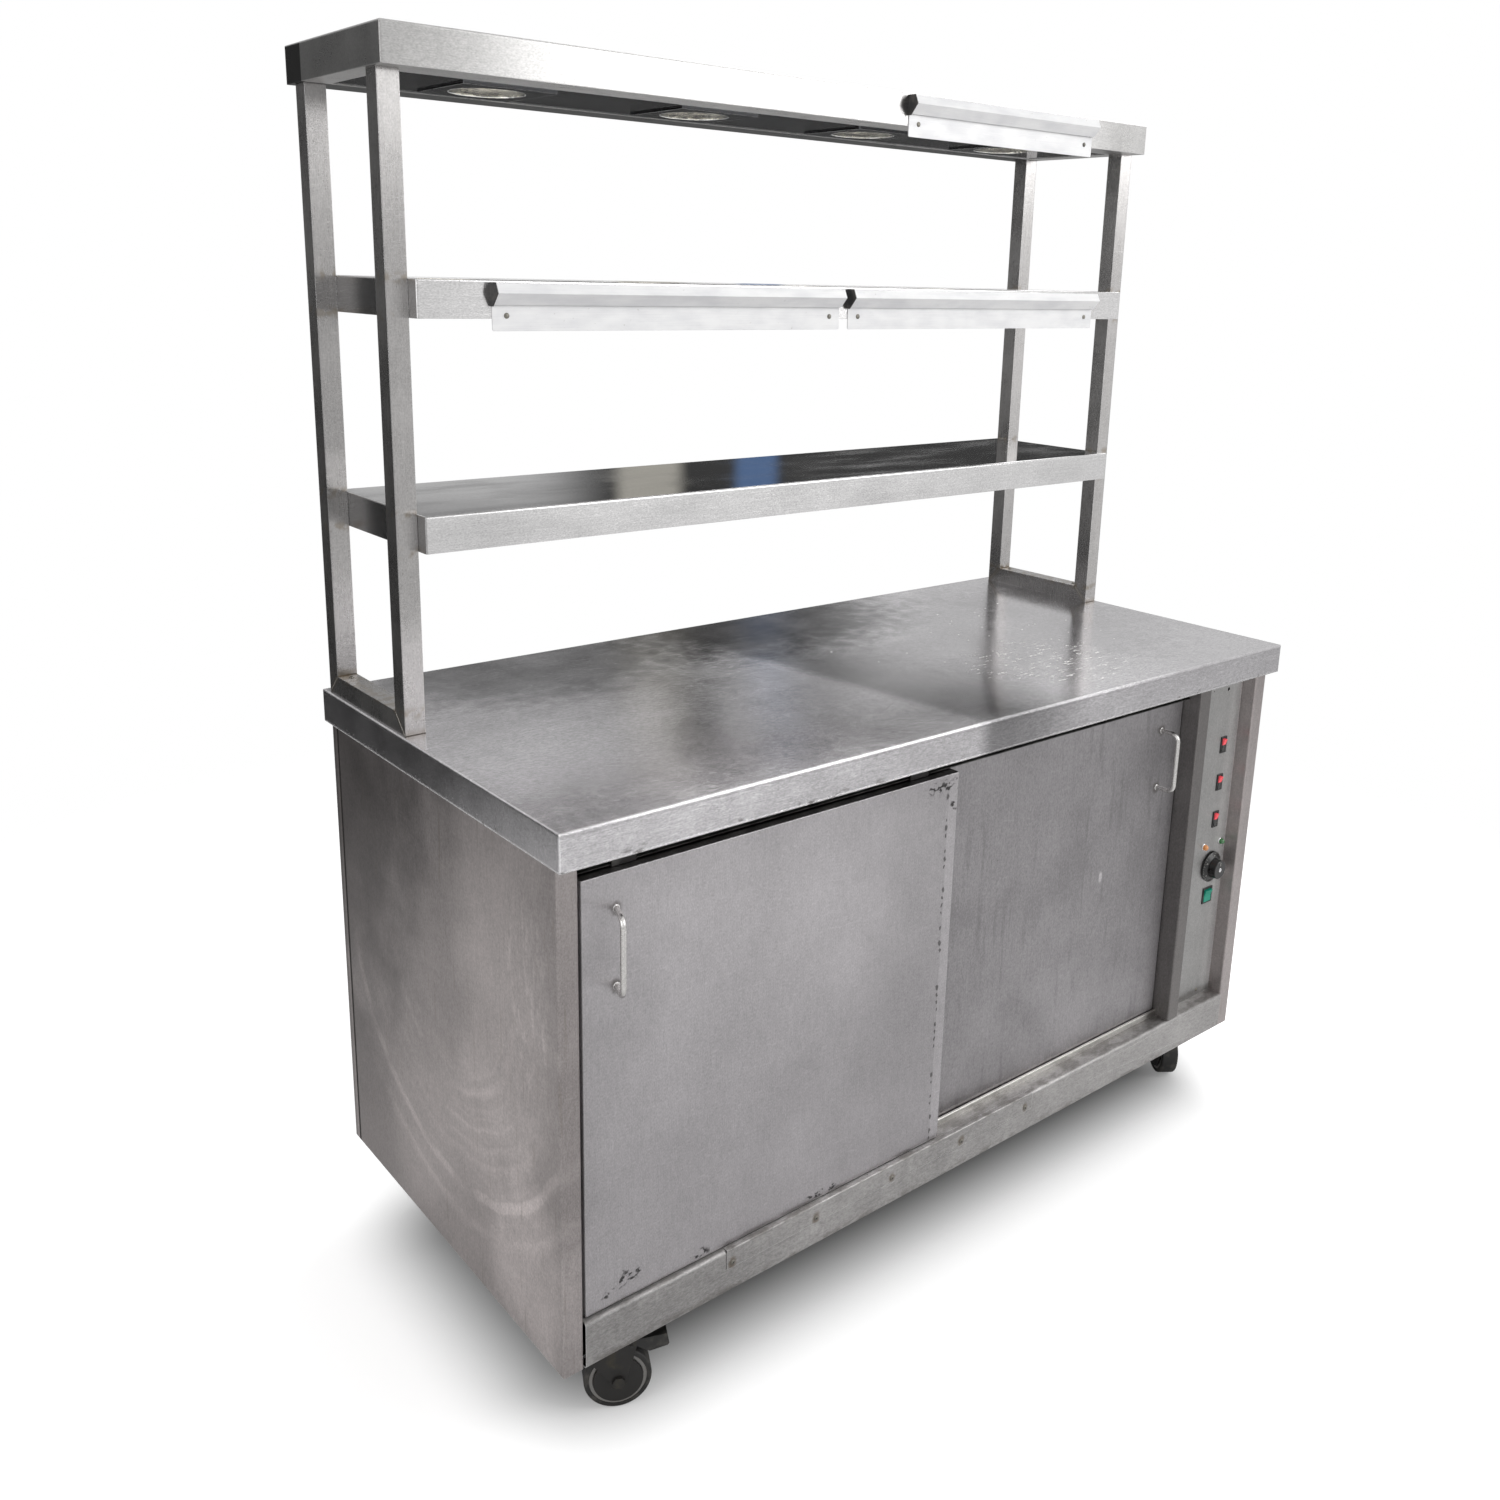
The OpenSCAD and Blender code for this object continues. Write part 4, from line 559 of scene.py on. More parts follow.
# %% Put the steel on the sheets
# Name, tone, roughness, belt, face, scratches, clouds, waves, grime, marks, fold, pits, and its parts.
STEELS = (
    ("steel_worktop_scoured", "#bcbabc", 0.14, "x", "z", 0.55, 0.50, 0.10, 0.45, worktop_marks, 4.0, 1.9,
     "worktop"),
    ("steel_panels_satin", "#9c9695", 0.34, "z", "x", 0.5, 0.6, 0.3, 0.25, panel_marks, 1.2, 1.1,
     "left_side_panel", "right_side_panel", "rear_panel"),
    ("steel_doors_dulled", "#afacae", 0.40, "z", "y", 0.4, 0.45, 0.3, 0.3, door_marks, 2.2, 1.1,
     "left_door_outer", "right_door_outer"),
    ("steel_rail_scuffed", "#9b9998", 0.36, "x", "y", 0.6, 0.6, 0.2, 0.8, rail_marks, 1.2, 1.7,
     "cupboard_floor", "guard_strip"),
    # Painted shade: the column's tone is set darker than the other sheets.
    ("steel_column_satin_painted_shade", "#7d7a79", 0.36, "z", "y", 0.4, 0.5, 0.2, 0.35, None, 1.2, 1.1, "control_column"),
    # Painted light: the control panel's tone is set lighter, against the shade of its recess.
    ("steel_control_panel_painted_light_and_shade", "#bbbab9", 0.42, "z", "y", 0.3, 0.45, 0.2, 0.35,
     control_panel_marks, 1.2, 1.1, "control_panel"),
    ("steel_tube_satin", "#adabaa", 0.25, "z", "y", 0.4, 0.5, 0.15, 0.3, frame_marks, 1.2, 1.1,
     "left_end_frame", "right_end_frame"),
    ("steel_shelves_bright", "#d2d1d1", 0.16, "x", "z", 0.35, 0.25, 0.35, 0.2, shelf_marks, 1.2, 1.1,
     "lower_shelf", "middle_shelf", "inner_shelf"),
    ("steel_canopy_bright", "#b4b3b2", 0.26, "x", "y", 0.25, 0.3, 0.2, 0.15, canopy_marks, 2.0, 1.1,
     "canopy"),
    # Painted shade: the lamp tray's tone is set much darker.
    ("steel_tray_mirror_painted_shade", "#606062", 0.07, "x", "z", 0.2, 0.2, 0.3, 0.1, None, 1.2, 1.1, "lamp_tray"),
    ("steel_foot_guide_rubbed", "#bfbdb9", 0.30, "x", "z", 0.8, 0.5, 0.2, 0.6, None, 1.2, 1.1,
     "door_foot_guide"),
)
SETTINGS = 12
for row in STEELS:
    finish(satin_steel(*row[:SETTINGS]), *row[SETTINGS:])
print(len(STEELS), "kinds of stainless sheet")

# %% [markdown]
# ## Zinc, screws and handles
# Parts that nobody polishes are galvanised or zinc plated: pale, slightly blue, with a faint
# patchy crystal pattern. The handles are solid stainless rod, polished by years of hands.

# %% Zinc plate
def zinc(name, tone, roughness, soot):
    """Zinc plated steel with cell-like crystal patches and black road dirt in soot parts of 1."""
    material, output, place = start(name)
    crystals = add("TexVoronoi", {"Vector": place, "Scale": 1 / (9 * MM)}).outputs["Color"]
    dull = noise(place, 30 * MM, 4.0)
    pale = linear(tone)
    grey = tuple(v * 0.75 for v in pale[:3]) + (1,)
    colour = blend_colours(crystals, grey, pale)
    dirty = ramp(dull, 0.75 - 0.6 * soot, 0.95 - 0.6 * soot)
    colour = blend_colours(dirty, colour, linear("#1d1b19"))
    rough = sums("MULTIPLY_ADD", dull, 0.2, roughness)
    metal = sums("SUBTRACT", 1.0, dirty)
    bump = relief(dull, 0.15, 0.6, 0.6)
    shader = add("BsdfPrincipled", {"Base Color": colour, "Metallic": metal, "Roughness": rough,
                                    "Normal": bump})
    tree.links.new(shader.outputs[0], output.inputs["Surface"])
    return material


finish(zinc("zinc_sheet_galvanised", "#a4a7aa", 0.38, 0.15),
       "worktop_stiffeners", "base_frame", "inner_brackets")
# Grease, and painted shade too: the track and the doors' inner skins are darkened so the gap above the doors
# reads dark.
finish(zinc("zinc_track_grease_and_painted_shade", "#6a6967", 0.45, 0.62), "door_track", "left_door_inner", "right_door_inner")
castors = ["front_left", "front_right", "rear_left", "rear_right"]
finish(zinc("zinc_castor_sooty", "#57534a", 0.48, 0.85), "castor_plates", *[c + "_fork" for c in castors])
finish(satin_steel("steel_rod_polished", "#cfcdcb", 0.24, "z", "y", 0.1, 0.1, 0.0, 0.05),
       "left_door_handle", "right_door_handle")
print("zinc on", sum(m.name.startswith("zinc") for m in bpy.data.materials), "materials")

# %% [markdown]
# ## Moulded plastics and rubber
# The switches, knob and pedals are ABS: the mould leaves a fine leather-like texture, and dust
# settles on it. The rocker caps and pilot lenses are clear polycarbonate dyed in the mass, so
# they are glossy and let some light into their depth. Tyres are grey-black rubber, dusty where
# they touch the floor.

# %% Moulded plastics
def moulded(name, tone, roughness, grain=0.5, dust=0.2, coat=0.0, clear=0.0, grain_size=0.45, painted_glow=0.0):
    """Injection moulded plastic or rubber, its texture drawn at grain_size mm."""
    material, output, place = start(name)
    pits = noise(place, grain_size * MM, 2.0)
    patches = noise(place, 14 * MM, 4.0)
    dusty = product(ramp(patches, 0.45, 0.75), dust)
    base = linear(tone)
    deeper = tuple(v * 0.8 for v in base[:3]) + (1,)
    colour = blend_colours(pits, deeper, base)
    colour = blend_colours(dusty, colour, linear("#8d877d"))
    rough = sums("MULTIPLY_ADD", patches, 0.16, roughness - 0.08)
    bump = relief(pits, 0.04, grain, 0.4)
    shader = add("BsdfPrincipled", {"Base Color": colour, "Roughness": rough, "IOR": 1.53,
                                    "Coat Weight": coat, "Coat Roughness": 0.08,
                                    "Transmission Weight": clear, "Normal": bump})
    # Painted glow: the colour is also given out as light.
    if painted_glow:
        tree.links.new(colour, shader.inputs["Emission Color"])
        shader.inputs["Emission Strength"].default_value = painted_glow
    tree.links.new(shader.outputs[0], output.inputs["Surface"])
    return material


finish(moulded("abs_switch_black", "#1a1a1c", 0.42, 0.5, 0.10), "switch_bezels")
finish(moulded("abs_knob_black", "#0b0b0c", 0.34, 0.3, 0.02, 0.1), "thermostat_knob")
finish(moulded("pp_rail_cap_black", "#262628", 0.45, 0.8, 0.2), "ticket_rail_caps")
finish(moulded("abs_pedal_black", "#1a1918", 0.5, 0.7, 0.15), "front_left_pedal", "front_right_pedal")
finish(moulded("nylon_gland_grey", "#3a3b3d", 0.45, 0.4, 0.1), "cable_gland")
finish(moulded("nylon_roller_white", "#d8d5cc", 0.4, 0.3, 0.2),
       *[side + "_door_roller_" + end for side in ("left", "right") for end in "ab"])
finish(moulded("bakelite_thermostat_brown", "#3a2c22", 0.4, 0.4, 0.2), "thermostat_body")
finish(moulded("rubber_tyre_black", "#1c1b1a", 0.60, 0.8, 0.18, grain_size=1.2),
       *[c + "_tyre" for c in castors])
finish(moulded("nylon_rim_grey", "#8f8d8a", 0.45, 0.5, 0.25), *[c + "_rim" for c in castors])
finish(moulded("pc_rocker_green", "#05937a", 0.38, 0.2, 0.02, 0.0, painted_glow=0.10), "main_rocker")
print("plastics on", sum(m.name.split("_")[0] in ("abs", "pp", "nylon", "pc", "rubber", "bakelite")
                         for m in bpy.data.materials), "materials")

# %% [markdown]
# ## Rocker switches and pilot lamps
# Each heater switch is a black rocker with a red lens set into its upper half; the lens is
# polycarbonate dyed in the mass. The part is one moulding in the model, so the material asks
# where on the rocker it is: above the tilt axis it is the red lens, below it the black key. The
# lenses, the green main rocker and the amber and green pilots get a faint painted glow.

# %% Red and black rockers, amber and green pilots
def two_tone(name, axis, split, below, above, coat, painted_glow):
    """Glossy plastic of one colour below axis = split and another above it."""
    material, output, place = start(name)
    value = add("SeparateXYZ", {0: place}).outputs["xyz".index(axis)]
    over = sums("GREATER_THAN", value, split)
    wear = noise(place, 3 * MM, 3.0)
    colour = blend_colours(over, linear(below), linear(above))
    colour = blend_colours(ramp(wear, 0.55, 0.8, 0.0, 0.25), colour, linear("#b9b2a6"))
    rough = sums("MULTIPLY_ADD", wear, 0.15, 0.16)
    bump = relief(wear, 0.03, 0.5, 0.5)
    # Painted glow: the lenses give out their colour as light.
    shader = add("BsdfPrincipled", {"Base Color": colour, "Roughness": rough, "IOR": 1.58,
                                    "Coat Weight": coat, "Normal": bump,
                                    "Emission Color": colour, "Emission Strength": painted_glow})
    tree.links.new(shader.outputs[0], output.inputs["Surface"])
    return material


for rocker in ("top_rocker", "middle_rocker", "bottom_rocker"):
    low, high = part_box(rocker)
    split = (low.z + high.z) / 2 + 0.5 * MM
    finish(two_tone("pc_lens_" + rocker, "z", split, "#101011", "#f2565f", 0.25, 0.35), rocker)
low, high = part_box("pilot_lamps")
finish(two_tone("pc_pilot_lenses", "x", (low.x + high.x) / 2, "#dd8f4a", "#2f6e3a", 0.8, 0.12), "pilot_lamps")
print("rockers and pilots done")

# %% [markdown]
# ## Heat lamps
# A heat lamp is a halogen bulb in a bright dished reflector behind a flat glass. Everything is
# mirror bright, and the hammered pattern of the reflector breaks the light into sparkles. The dish
# also has a painted glow with painted sparkles, given as emission, and the bezel's rims a painted
# highlight.

# %% Reflectors, glasses and the element
LAMP_STEP, LAMP_Y = 0.176, 0.2011
material, output, place = start("aluminium_reflector_bright")
facets = add("TexVoronoi", {"Vector": place, "Scale": 1 / (9 * MM)}).outputs["Distance"]
film = noise(place, 20 * MM, 3.0)
x, y, z = add("SeparateXYZ", {0: place}).outputs
folded = sums("ABSOLUTE", sums("SUBTRACT", sums("ABSOLUTE", x), 2 * LAMP_STEP))
from_lamp = add("CombineXYZ", {0: sums("SUBTRACT", folded, LAMP_STEP),
                               1: sums("SUBTRACT", y, LAMP_Y)}).outputs[0]
from_lamp = add("VectorMath", {0: from_lamp}, operation="LENGTH").outputs["Value"]
dish = ramp(from_lamp, 0.0535, 0.0525)
lit = ramp(from_lamp, 0.050, 0.038)
painted_sparkle = noise(place, 9 * MM, 1.0, (2.5, 1, 1))
rounded = add("Bevel", {"Radius": 0.8 * MM}, samples=3).outputs[0]
corner = add("VectorMath", {0: rounded, 1: add("NewGeometry").outputs["Normal"]},
             operation="DOT_PRODUCT").outputs["Value"]
edge = ramp(corner, 0.995, 0.90)
# Painted highlight along the bezel's rims.
plate = blend_colours(edge, linear("#77787a"), linear("#e8e8e8"))
bump = add("Bump", {"Height": product(facets, dish), "Distance": 1.6 * MM, "Strength": 0.7,
                    "Normal": rounded})
# Painted glow and sparkles: the dish gives out light.
shader = add("BsdfPrincipled", {"Metallic": 1.0, "Normal": bump.outputs[0],
    "Base Color": blend_colours(dish, plate, linear("#fafaf8")),
    "Roughness": sums("MULTIPLY_ADD", film, 0.14, 0.05),
    "Emission Color": linear("#fff9f0"),
    "Emission Strength": product(lit, ramp(painted_sparkle, 0.40, 0.54, 0.3, 3.2))})
tree.links.new(shader.outputs[0], output.inputs["Surface"])
finish(material, "lamp_bezels")

material, output, place = start("glass_lamp_clear")
smear = noise(place, 16 * MM, 4.0)
shader = add("BsdfPrincipled", {"Base Color": linear("#f7f6f0"), "Transmission Weight": 1.0, "IOR": 1.47,
    "Roughness": sums("MULTIPLY_ADD", smear, 0.10, 0.0),
    "Normal": add("Bump", {"Height": smear, "Distance": 0.1 * MM, "Strength": 0.5}).outputs[0]})
tree.links.new(shader.outputs[0], output.inputs["Surface"])
finish(material, "lamp_glasses")

material, output, place = start("steel_element_sheath_oxidised")
bands = noise(place, 40 * MM, 3.0)
shader = add("BsdfPrincipled", {"Metallic": 1.0,
    "Base Color": blend_colours(bands, linear("#5c4a3c"), linear("#7b7f8c")),
    "Roughness": sums("MULTIPLY_ADD", bands, 0.2, 0.35)})
tree.links.new(shader.outputs[0], output.inputs["Surface"])
finish(material, "heating_element")

# %% [markdown]
# ## Ticket rails
# Clipped to the shelves are rails of extruded aluminium, anodised in its natural pale silver.
# Anodising is a thin clear oxide, so it looks milky white rather than mirror-like. Fingers and
# order slips leave grey smears and a little brown grime near the ends.

# %% Anodised aluminium
material, output, place = start("aluminium_anodised_rail")
smears = noise(place, 24 * MM, 4.0, (2.5, 1, 1))
streaks = noise(place, 0.9 * MM, 1.0, (90, 1, 1))
specks = noise(place, 5 * MM, 3.0)
value = sums("MULTIPLY_ADD", streaks, 0.25, product(smears, 0.9))
colour = blend_colours(ramp(value, 0.35, 0.85), linear("#fbfbfb"), linear("#e8e8ea"))
colour = blend_colours(ramp(specks, 0.70, 0.78, 0.0, 0.35), colour, linear("#8a8070"))
bump = relief(streaks, 0.01, 0.6, 0.7)
shader = add("BsdfPrincipled", {"Base Color": colour, "Metallic": 0.08, "Normal": bump,
    "Roughness": sums("MULTIPLY_ADD", smears, 0.15, 0.32)})
tree.links.new(shader.outputs[0], output.inputs["Surface"])
finish(material, "ticket_rails")
finish(zinc("zinc_screw_dull", "#8f8c84", 0.40, 0.35), "screws")

# %% [markdown]
# ## Small parts that only a close look shows
# The model stops at parts that a workshop would list. A picture from close by also shows what is
# printed, pressed or melted onto them: the scale of the knob, the cross recess of a screw, the
# chrome ring round a pilot lamp, the ripples of a weld. They are built point by point as small
# meshes and ride on the body that they belong to, so they follow when the knob turns.

# %% Helpers for small parts
def piece(name, body, material, plan):
    """Makes an object of a finished bmesh that moves with a body of the model."""
    bmesh.ops.remove_doubles(plan, verts=plan.verts, dist=0.001 * MM)
    bmesh.ops.recalc_face_normals(plan, faces=plan.faces)
    mesh = bpy.data.meshes.new(name)
    plan.to_mesh(mesh)
    plan.free()
    mesh.shade_smooth()
    mesh.materials.append(material)
    made = bpy.data.objects.new(name, mesh)
    bpy.context.scene.collection.objects.link(made)
    corners = made.modifiers.new("crisp_edges", "EDGE_SPLIT")
    corners.split_angle = math.radians(40)
    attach(made, body)


def bar(plan, middle, along, across, size):
    """Adds a small bar with broken edges: its middle, two directions, and length, width, thickness."""
    turn = Matrix((along, across, along.cross(across))).transposed().to_4x4()
    made = bmesh.ops.create_cube(plan, size=1.0,
                                 matrix=Matrix.Translation(middle) @ turn @ Matrix.Diagonal((*size, 1)))
    rims = list({e for v in made["verts"] for e in v.link_edges})
    bmesh.ops.bevel(plan, geom=rims, offset=min(size) * 0.3, segments=2, affect="EDGES")


def turned(plan, centre, profile, steps=40):
    """Turns (radius, height) points round the axis that points at the viewer, away from the panel."""
    rings = [[plan.verts.new(centre + Vector((r * math.sin(a), -h, r * math.cos(a)))) for r, h in profile]
             for a in (2 * math.pi * i / steps for i in range(steps))]
    for one, two in zip(rings, rings[1:] + rings[:1]):
        for k in range(len(profile) - 1):
            plan.faces.new((one[k], two[k], two[k + 1], one[k + 1]))


def weld(plan, begin, end, radius):
    """Adds a weld bead between two points: a ridge with a ripple every 2 mm, half sunk in the metal."""
    way = (end - begin).normalized()
    side = way.orthogonal().normalized()
    other = way.cross(side)
    count = max(6, int((end - begin).length / (0.7 * MM)))
    rings = []
    for i in range(count + 1):
        swell = radius * (0.82 + 0.18 * math.sin(i * 2.2)) * min(1.0, 0.3 + 0.35 * min(i, count - i))
        middle = begin.lerp(end, i / count)
        rings.append([plan.verts.new(middle + swell * (math.cos(a) * side + math.sin(a) * other))
                      for a in (math.pi * k / 5 for k in range(10))])
    for one, two in zip(rings, rings[1:]):
        for k in range(10):
            plan.faces.new((one[k], one[(k + 1) % 10], two[(k + 1) % 10], two[k]))
    plan.faces.new(rings[0])
    plan.faces.new(rings[-1])


print("helpers for bars, turned rings and weld beads")

# %% The scale and the cap of the thermostat knob
# The skirt slopes from radius 29 at 4.8 mm off the panel to radius 21 at 9.8 mm.
KNOB_AT = Vector((0.671, -0.29786, 0.466))
SKIRT_OUT, SKIRT_IN = (29.0, 4.8), (21.0, 9.8)
SLOPE = Vector((SKIRT_OUT[0] - SKIRT_IN[0], SKIRT_OUT[1] - SKIRT_IN[1])).normalized()


def on_skirt(turn, radius):
    """A point of the knob's skirt, the way round it and the way outward over it, for an angle in degrees."""
    a = math.radians(turn)
    share = (SKIRT_OUT[0] - radius) / (SKIRT_OUT[0] - SKIRT_IN[0])
    out = SKIRT_OUT[1] + share * (SKIRT_IN[1] - SKIRT_OUT[1])
    point = KNOB_AT + MM * Vector((radius * math.sin(a), -out, radius * math.cos(a)))
    return point, Vector((math.cos(a), 0, -math.sin(a))), Vector((SLOPE.x * math.sin(a), -SLOPE.y,
                                                                  SLOPE.x * math.cos(a)))


plan = bmesh.new()
for i in range(28):
    major = i % 3 == 0
    long_line = 2.6 if major else 1.6
    point, around_way, outward = on_skirt(-135 + 10 * i, 28.4 - long_line / 2)
    bar(plan, point, outward, around_way, Vector((long_line, 0.6 if major else 0.4, 0.2)) * MM)
for i, number in enumerate((30, 50, 70, 90, 110)):
    point, around_way, outward = on_skirt(-120 + 60 * i, 23.6)
    facing = around_way.cross(outward)
    letters = bpy.data.curves.new("numeral", "FONT")
    letters.body = str(number)
    letters.size = 3.6 * MM
    letters.extrude = 0.08 * MM
    letters.align_x = letters.align_y = "CENTER"
    shape = bpy.data.meshes.new_from_object(bpy.data.objects.new("numeral", letters))
    turn = Matrix((around_way, outward, facing)).transposed().to_4x4()
    shape.transform(Matrix.Translation(point + facing * 0.06 * MM) @ turn)
    plan.from_mesh(shape)
bar(plan, KNOB_AT + Vector((0, -23.0, 11.5)) * MM, Vector((0, 0, 1)), Vector((1, 0, 0)),
    Vector((7, 1.1, 0.2)) * MM)
dial_paint = moulded("paint_dial_white", "#d9d8d2", 0.45, 0.3, 0.25, grain_size=0.3)
piece("knob_scale", "thermostat_knob", dial_paint, plan)

plan = bmesh.new()
turned(plan, KNOB_AT, [(r * MM, h * MM) for r, h in (
    (4.0, 22.6), (4.0, 23.3), (3.7, 23.6), (2.0, 23.75), (0.0, 23.8))])
chrome = satin_steel("chrome_plate_bright", "#dcdcdd", 0.10, "z", "y", 0.1, 0.1, 0.0, 0.1)
piece("knob_cap", "thermostat_knob", chrome, plan)
print("28 scale lines, 5 numbers, a pointer and a cap on the knob")

# %% Chrome rings round the pilot lamps, cross recesses, welds
plan = bmesh.new()
for x in (0.645, 0.697):
    turned(plan, Vector((x, KNOB_AT.y, 0.511)), [(r * MM, h * MM) for r, h in (
        (7.3, 0.0), (7.3, 0.9), (6.9, 1.7), (6.2, 2.1), (5.6, 1.9), (5.35, 1.2))])
piece("pilot_rings", "cabinet", chrome, plan)

# The tips of the domed heads: on the guard strip, and on the feet of the end frames.
GUARD_HEAD_Y = -0.32906
FOOT_SCREW_YS = (0.11814, 0.28914)
plan = bmesh.new()
heads = [(Vector((x, GUARD_HEAD_Y, 0.177)), Vector((0, -1, 0))) for x in GUARD_SCREW_XS]
heads += [(Vector((side * 0.730, y, 0.925 + 0.002)), Vector((0, 0, 1))) for side in (-1, 1)
          for y in FOOT_SCREW_YS]
for tip, outward in heads:
    first = Vector((1, 0, 0)) if abs(outward.z) > 0.5 else Vector((0.8, 0, 0.6))
    second = outward.cross(first)
    for way, cross_way in ((first, second), (second, first)):
        bar(plan, tip - outward * 0.15 * MM, way, cross_way, Vector((4.0, 0.9, 0.5)) * MM)
# Painted shade: the cross recesses are dark crosses standing in for the shade in them.
recess = moulded("recess_painted_shade_black", "#171513", 0.6, 0.4, 0.2)
piece("screw_recesses", "cabinet", recess, plan)

plan = bmesh.new()
for side in (-1, 1):
    for face_x in (0.7150, 0.7450):
        for corner_y, way in ((POST_YS[0], 1), (POST_YS[1], -1)):
            weld(plan, Vector((side * face_x, corner_y + way * 0.001, TOP_Z + 0.001)),
                 Vector((side * face_x, corner_y + way * 0.029, TOP_Z + 0.029)), 0.55 * MM)
    for joint_z in SHELF_ZS:
        for post_y in (POST_YS[0], POST_YS[1] - TUBE):
            weld(plan, Vector((side * 0.7149, post_y + 0.002, joint_z)),
                 Vector((side * 0.7149, post_y + 0.028, joint_z)), 1.0 * MM)
beads = satin_steel("steel_weld_heated", "#8b8375", 0.42, "y", "x", 0.1, 0.8, 0.0, 0.8)
piece("weld_beads", "cabinet", beads, plan)
print(len(heads), "screws with a cross recess, 24 welds")

# %% [markdown]
# ## Studio
# The floor is pale and fades into a white backdrop, and keeps the soft shadow; under the cupboard
# its colour is painted darker as a shadow. Steel shows its surroundings more than its own colour,
# so the world is not plain white where it is reflected: a studio has a dark back wall and a bright
# side towards the windows, and that gives the posts their dark sides and the canopy front its
# shine, with painted shade on the posts' outer faces and a painted sheen on the canopy front.

# %% World
# Zones of the room that the steel mirrors: from and to in degrees round from the right, the ends'
# softness, from and to in height (1 is straight up), its softness, and how dark it is.
ROOM = (
    ("rear wall below the eye", 34, 100, 3.0, -0.30, -0.035, 0.012, 0.93),
    ("rear wall above the eye", 26, 60, 3.0, 0.045, 0.185, 0.020, 0.95),
    ("its left part", 60, 100, 3.0, 0.045, 0.185, 0.020, 0.45),
    ("rear wall near the ceiling", 47.5, 100, 2.0, 0.17, 0.31, 0.020, 0.95),
    ("cupboard by the rear wall", 52.4, 54.5, 0.3, 0.17, 0.40, 0.040, 0.95),
    ("left wall", 100, 155, 3.0, -0.40, 0.30, 0.070, 0.96),
    ("right wall", -20, 34, 12.0, -0.20, 0.10, 0.060, 0.25),
)
bpy.context.scene.view_settings.view_transform = "Standard"
world = bpy.data.worlds.new("studio_world")
bpy.context.scene.world = world
world.use_nodes = True
tree = world.node_tree
tree.nodes.clear()
output = add("OutputWorld")
ray = add("LightPath")
direction = add("TexCoord").outputs["Generated"]
axes = add("SeparateXYZ", {0: direction})
around = product(sums("ARCTAN2", axes.outputs["Y"], axes.outputs["X"]), 180 / math.pi)
bright = ramp(axes.outputs["Z"], -0.4, 0.5, 0.80, 1.0)
window_wall = product(ramp(around, -75, -30, 0.85, 1.70), ramp(around, 35, 5, 0.65, 1.0))
floor_side = ramp(around, -72, -36, 1.12, 0.84)
level = band(axes.outputs["Z"], -0.12, 0.25, 0.06)
bright = product(bright, sums("ADD", product(level, window_wall),
                              product(sums("SUBTRACT", 1.0, level), floor_side)))
bright = product(bright, ramp(axes.outputs["Z"], 0.28, 0.42, 1.0, 1.25))
for zone, left_end, right_end, soft_end, bottom, top, soft_top, dark in ROOM:
    here = product(band(around, left_end, right_end, soft_end),
                   band(axes.outputs["Z"], bottom, top, soft_top))
    bright = product(bright, sums("MULTIPLY_ADD", here, -dark, 1.0))
pane = product(band(around, 50.6, 52.3, 0.3), band(axes.outputs["Z"], -0.02, 0.262, 0.02))
doorway = product(band(around, 54.6, 57.2, 0.4), band(axes.outputs["Z"], -0.02, 0.34, 0.03))
colour = blend_colours(bright, linear("#000000"), linear("#ffffff"))
colour = blend_colours(product(pane, 0.75), colour, linear("#5f7ba6"))
colour = blend_colours(product(doorway, 0.8), colour, linear("#b9b6ad"))
mirrored = add("Background", {"Color": colour})
white = add("Background", {"Color": linear("#ffffff"), "Strength": 1.0})
soft = add("Background", {"Color": linear("#ffffff"), "Strength": 0.62})
by_gloss = sums("MAXIMUM", ray.outputs["Is Glossy Ray"], ray.outputs["Is Transmission Ray"])
other = add("MixShader", {0: by_gloss, 1: soft.outputs[0], 2: mirrored.outputs[0]})
shown = add("MixShader", {0: ray.outputs["Is Camera Ray"], 1: other.outputs[0], 2: white.outputs[0]})
tree.links.new(shown.outputs[0], output.inputs["Surface"])
print("the steel mirrors", len(ROOM), "walls, a window and a doorway")

# %% Lamps
def soft_box(name, at, aim, size, power):
    """A square area lamp at a place, turned to a point."""
    lamp = bpy.data.lights.new(name, "AREA")
    lamp.shape = "SQUARE"
    lamp.size = size
    lamp.energy = power
    carrier = bpy.data.objects.new(name, lamp)
    carrier.location = at
    carrier.rotation_euler = (Vector(aim) - Vector(at)).to_track_quat("-Z", "Y").to_euler()
    bpy.context.scene.collection.objects.link(carrier)


soft_box("key_front_right", (2.6, -3.2, 3.0), (0, 0, 0.9), 2.4, 65)
soft_box("top_rear", (2.2, 1.4, 3.4), (0, 0, 0.9), 2.2, 40)
soft_box("fill_left", (-3.6, -0.6, 2.2), (0, 0, 0.8), 2.0, 22)
print(len(bpy.data.lights), "soft boxes")

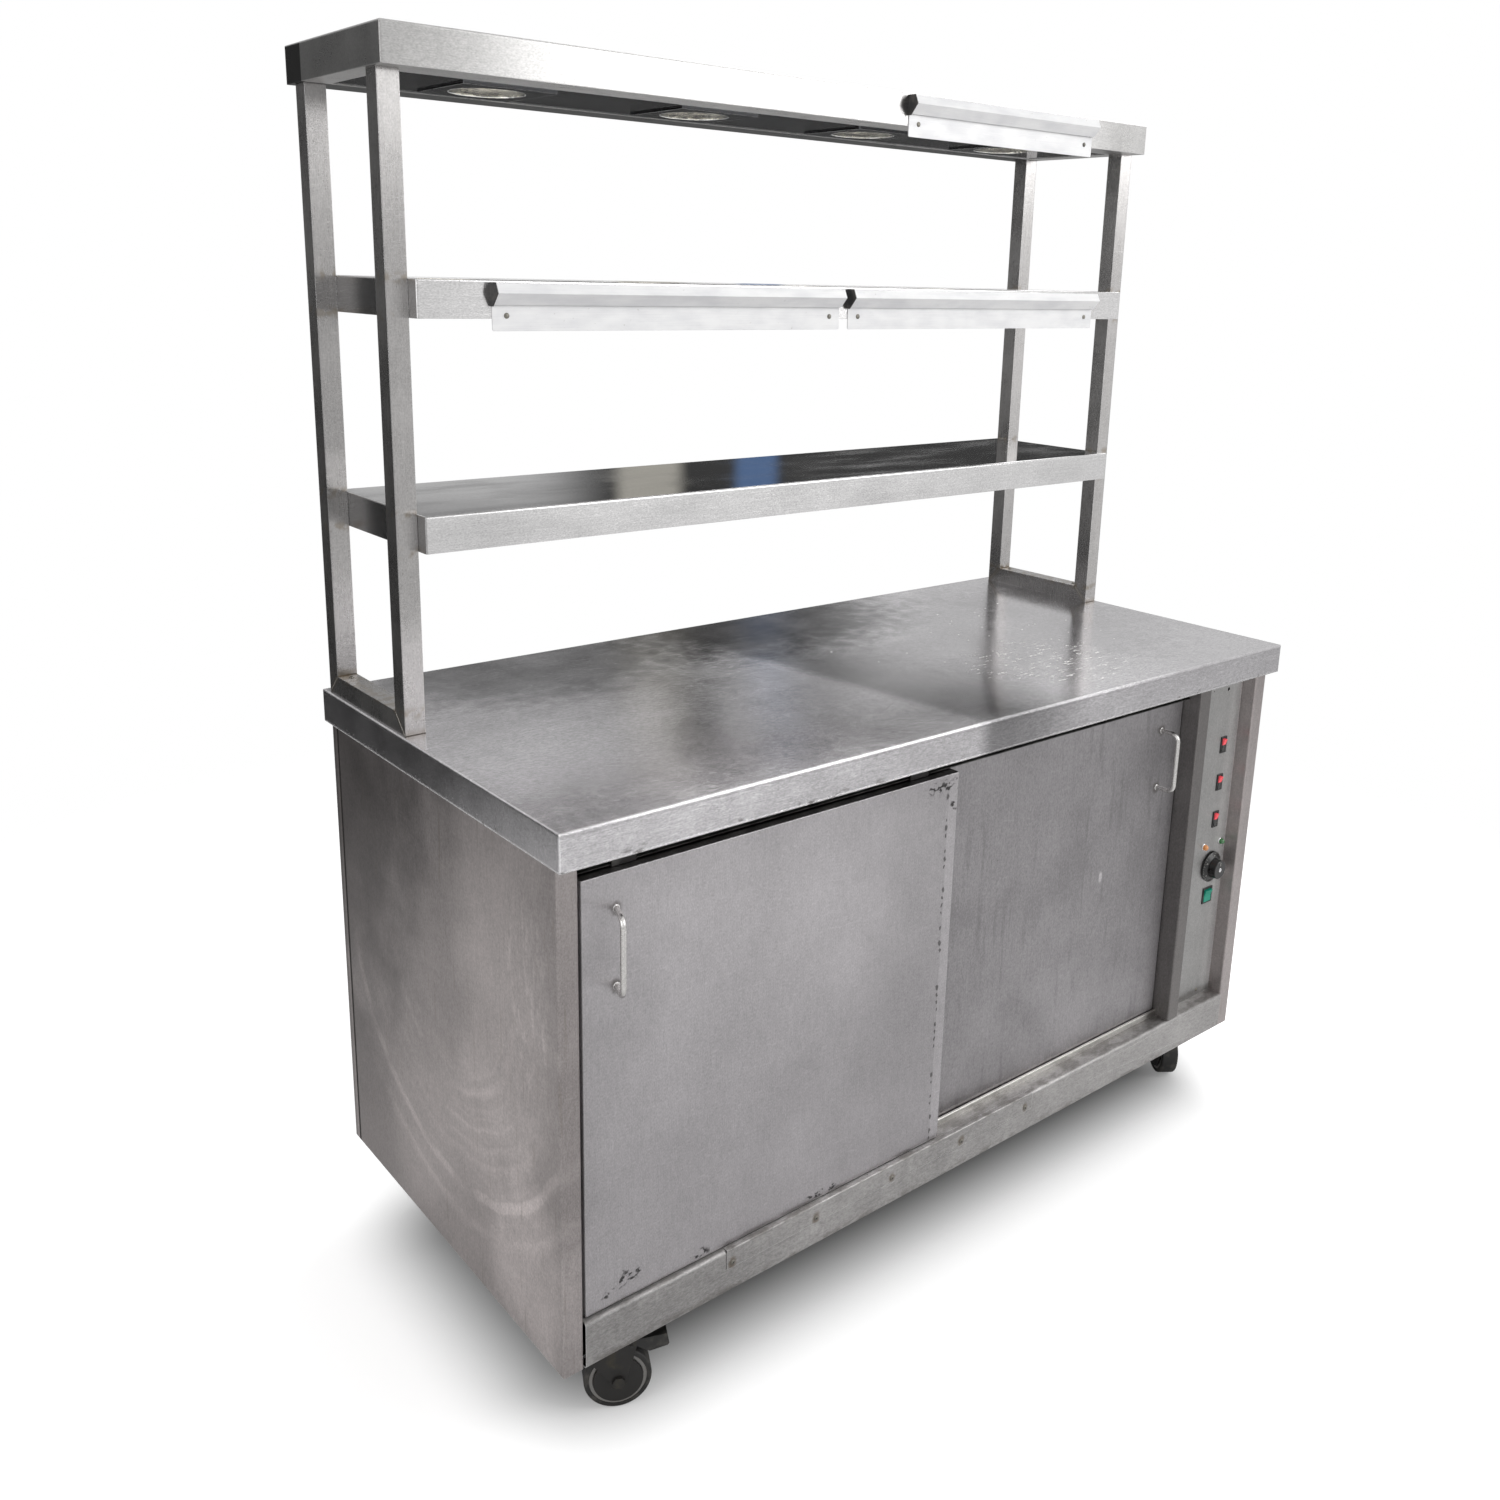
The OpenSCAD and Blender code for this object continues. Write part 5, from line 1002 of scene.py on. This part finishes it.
# %% Floor
# All in metres: the floor's radius, where it fades into the backdrop, the half sides of the patch
# that is painted darker as a shadow under the cupboard, and how softly that patch ends.
FLOOR_R = 6.0
FADE_FROM, FADE_TO = 1.3, 2.6
SHADOW_HALF, SHADOW_SOFT = (0.60, 0.16, 1.0), 0.24
plan = bmesh.new()
bmesh.ops.create_circle(plan, cap_ends=True, segments=96, radius=FLOOR_R)
floor_mesh = bpy.data.meshes.new("floor")
plan.to_mesh(floor_mesh)
plan.free()
floor = bpy.data.objects.new("floor", floor_mesh)
bpy.context.scene.collection.objects.link(floor)
floor.location.z = cad_low.z
floor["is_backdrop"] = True
material, output, place = start("floor_pale")
ray = add("LightPath")
far = ramp(add("VectorMath", {0: place}, operation="LENGTH").outputs["Value"], FADE_FROM, FADE_TO)
outward = add("VectorMath", {0: place}, operation="ABSOLUTE").outputs[0]
outward = add("VectorMath", {0: outward, 1: SHADOW_HALF}, operation="SUBTRACT").outputs[0]
outward = add("VectorMath", {0: outward, 1: (0.0, 0.0, 0.0)}, operation="MAXIMUM").outputs[0]
painted_shade_area = ramp(add("VectorMath", {0: outward}, operation="LENGTH").outputs["Value"], SHADOW_SOFT, 0.0)
# Painted shadow: the floor's colour is darker under the cupboard, and the white lift is left out there.
colour = blend_colours(painted_shade_area, linear("#f4f4f4"), linear("#808080"))
pale = add("BsdfDiffuse", {"Color": colour})
lift = add("Emission", {"Color": linear("#ffffff"), "Strength": 0.46})
clear_part = product(ray.outputs["Is Camera Ray"], sums("SUBTRACT", 1.0, painted_shade_area))
lifted = add("AddShader", {0: pale.outputs[0], 1: lift.outputs[0]})
near_mix = add("MixShader", {0: clear_part, 1: pale.outputs[0], 2: lifted.outputs[0]})
gone = add("BsdfTransparent")
faded = add("MixShader", {0: far, 1: near_mix.outputs[0], 2: gone.outputs[0]})
tree.links.new(faded.outputs[0], output.inputs["Surface"])
floor_mesh.materials.append(material)
print("a floor of", FLOOR_R, "m that fades out from", FADE_FROM, "m")

# %% [markdown]
# ## Measure
# The last cell prints the size of the dressed model, to set beside the size of the CAD model that
# was printed when it was loaded.

# %% Finish
low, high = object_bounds()
print("visual size", [round(v, 3) for v in high - low])
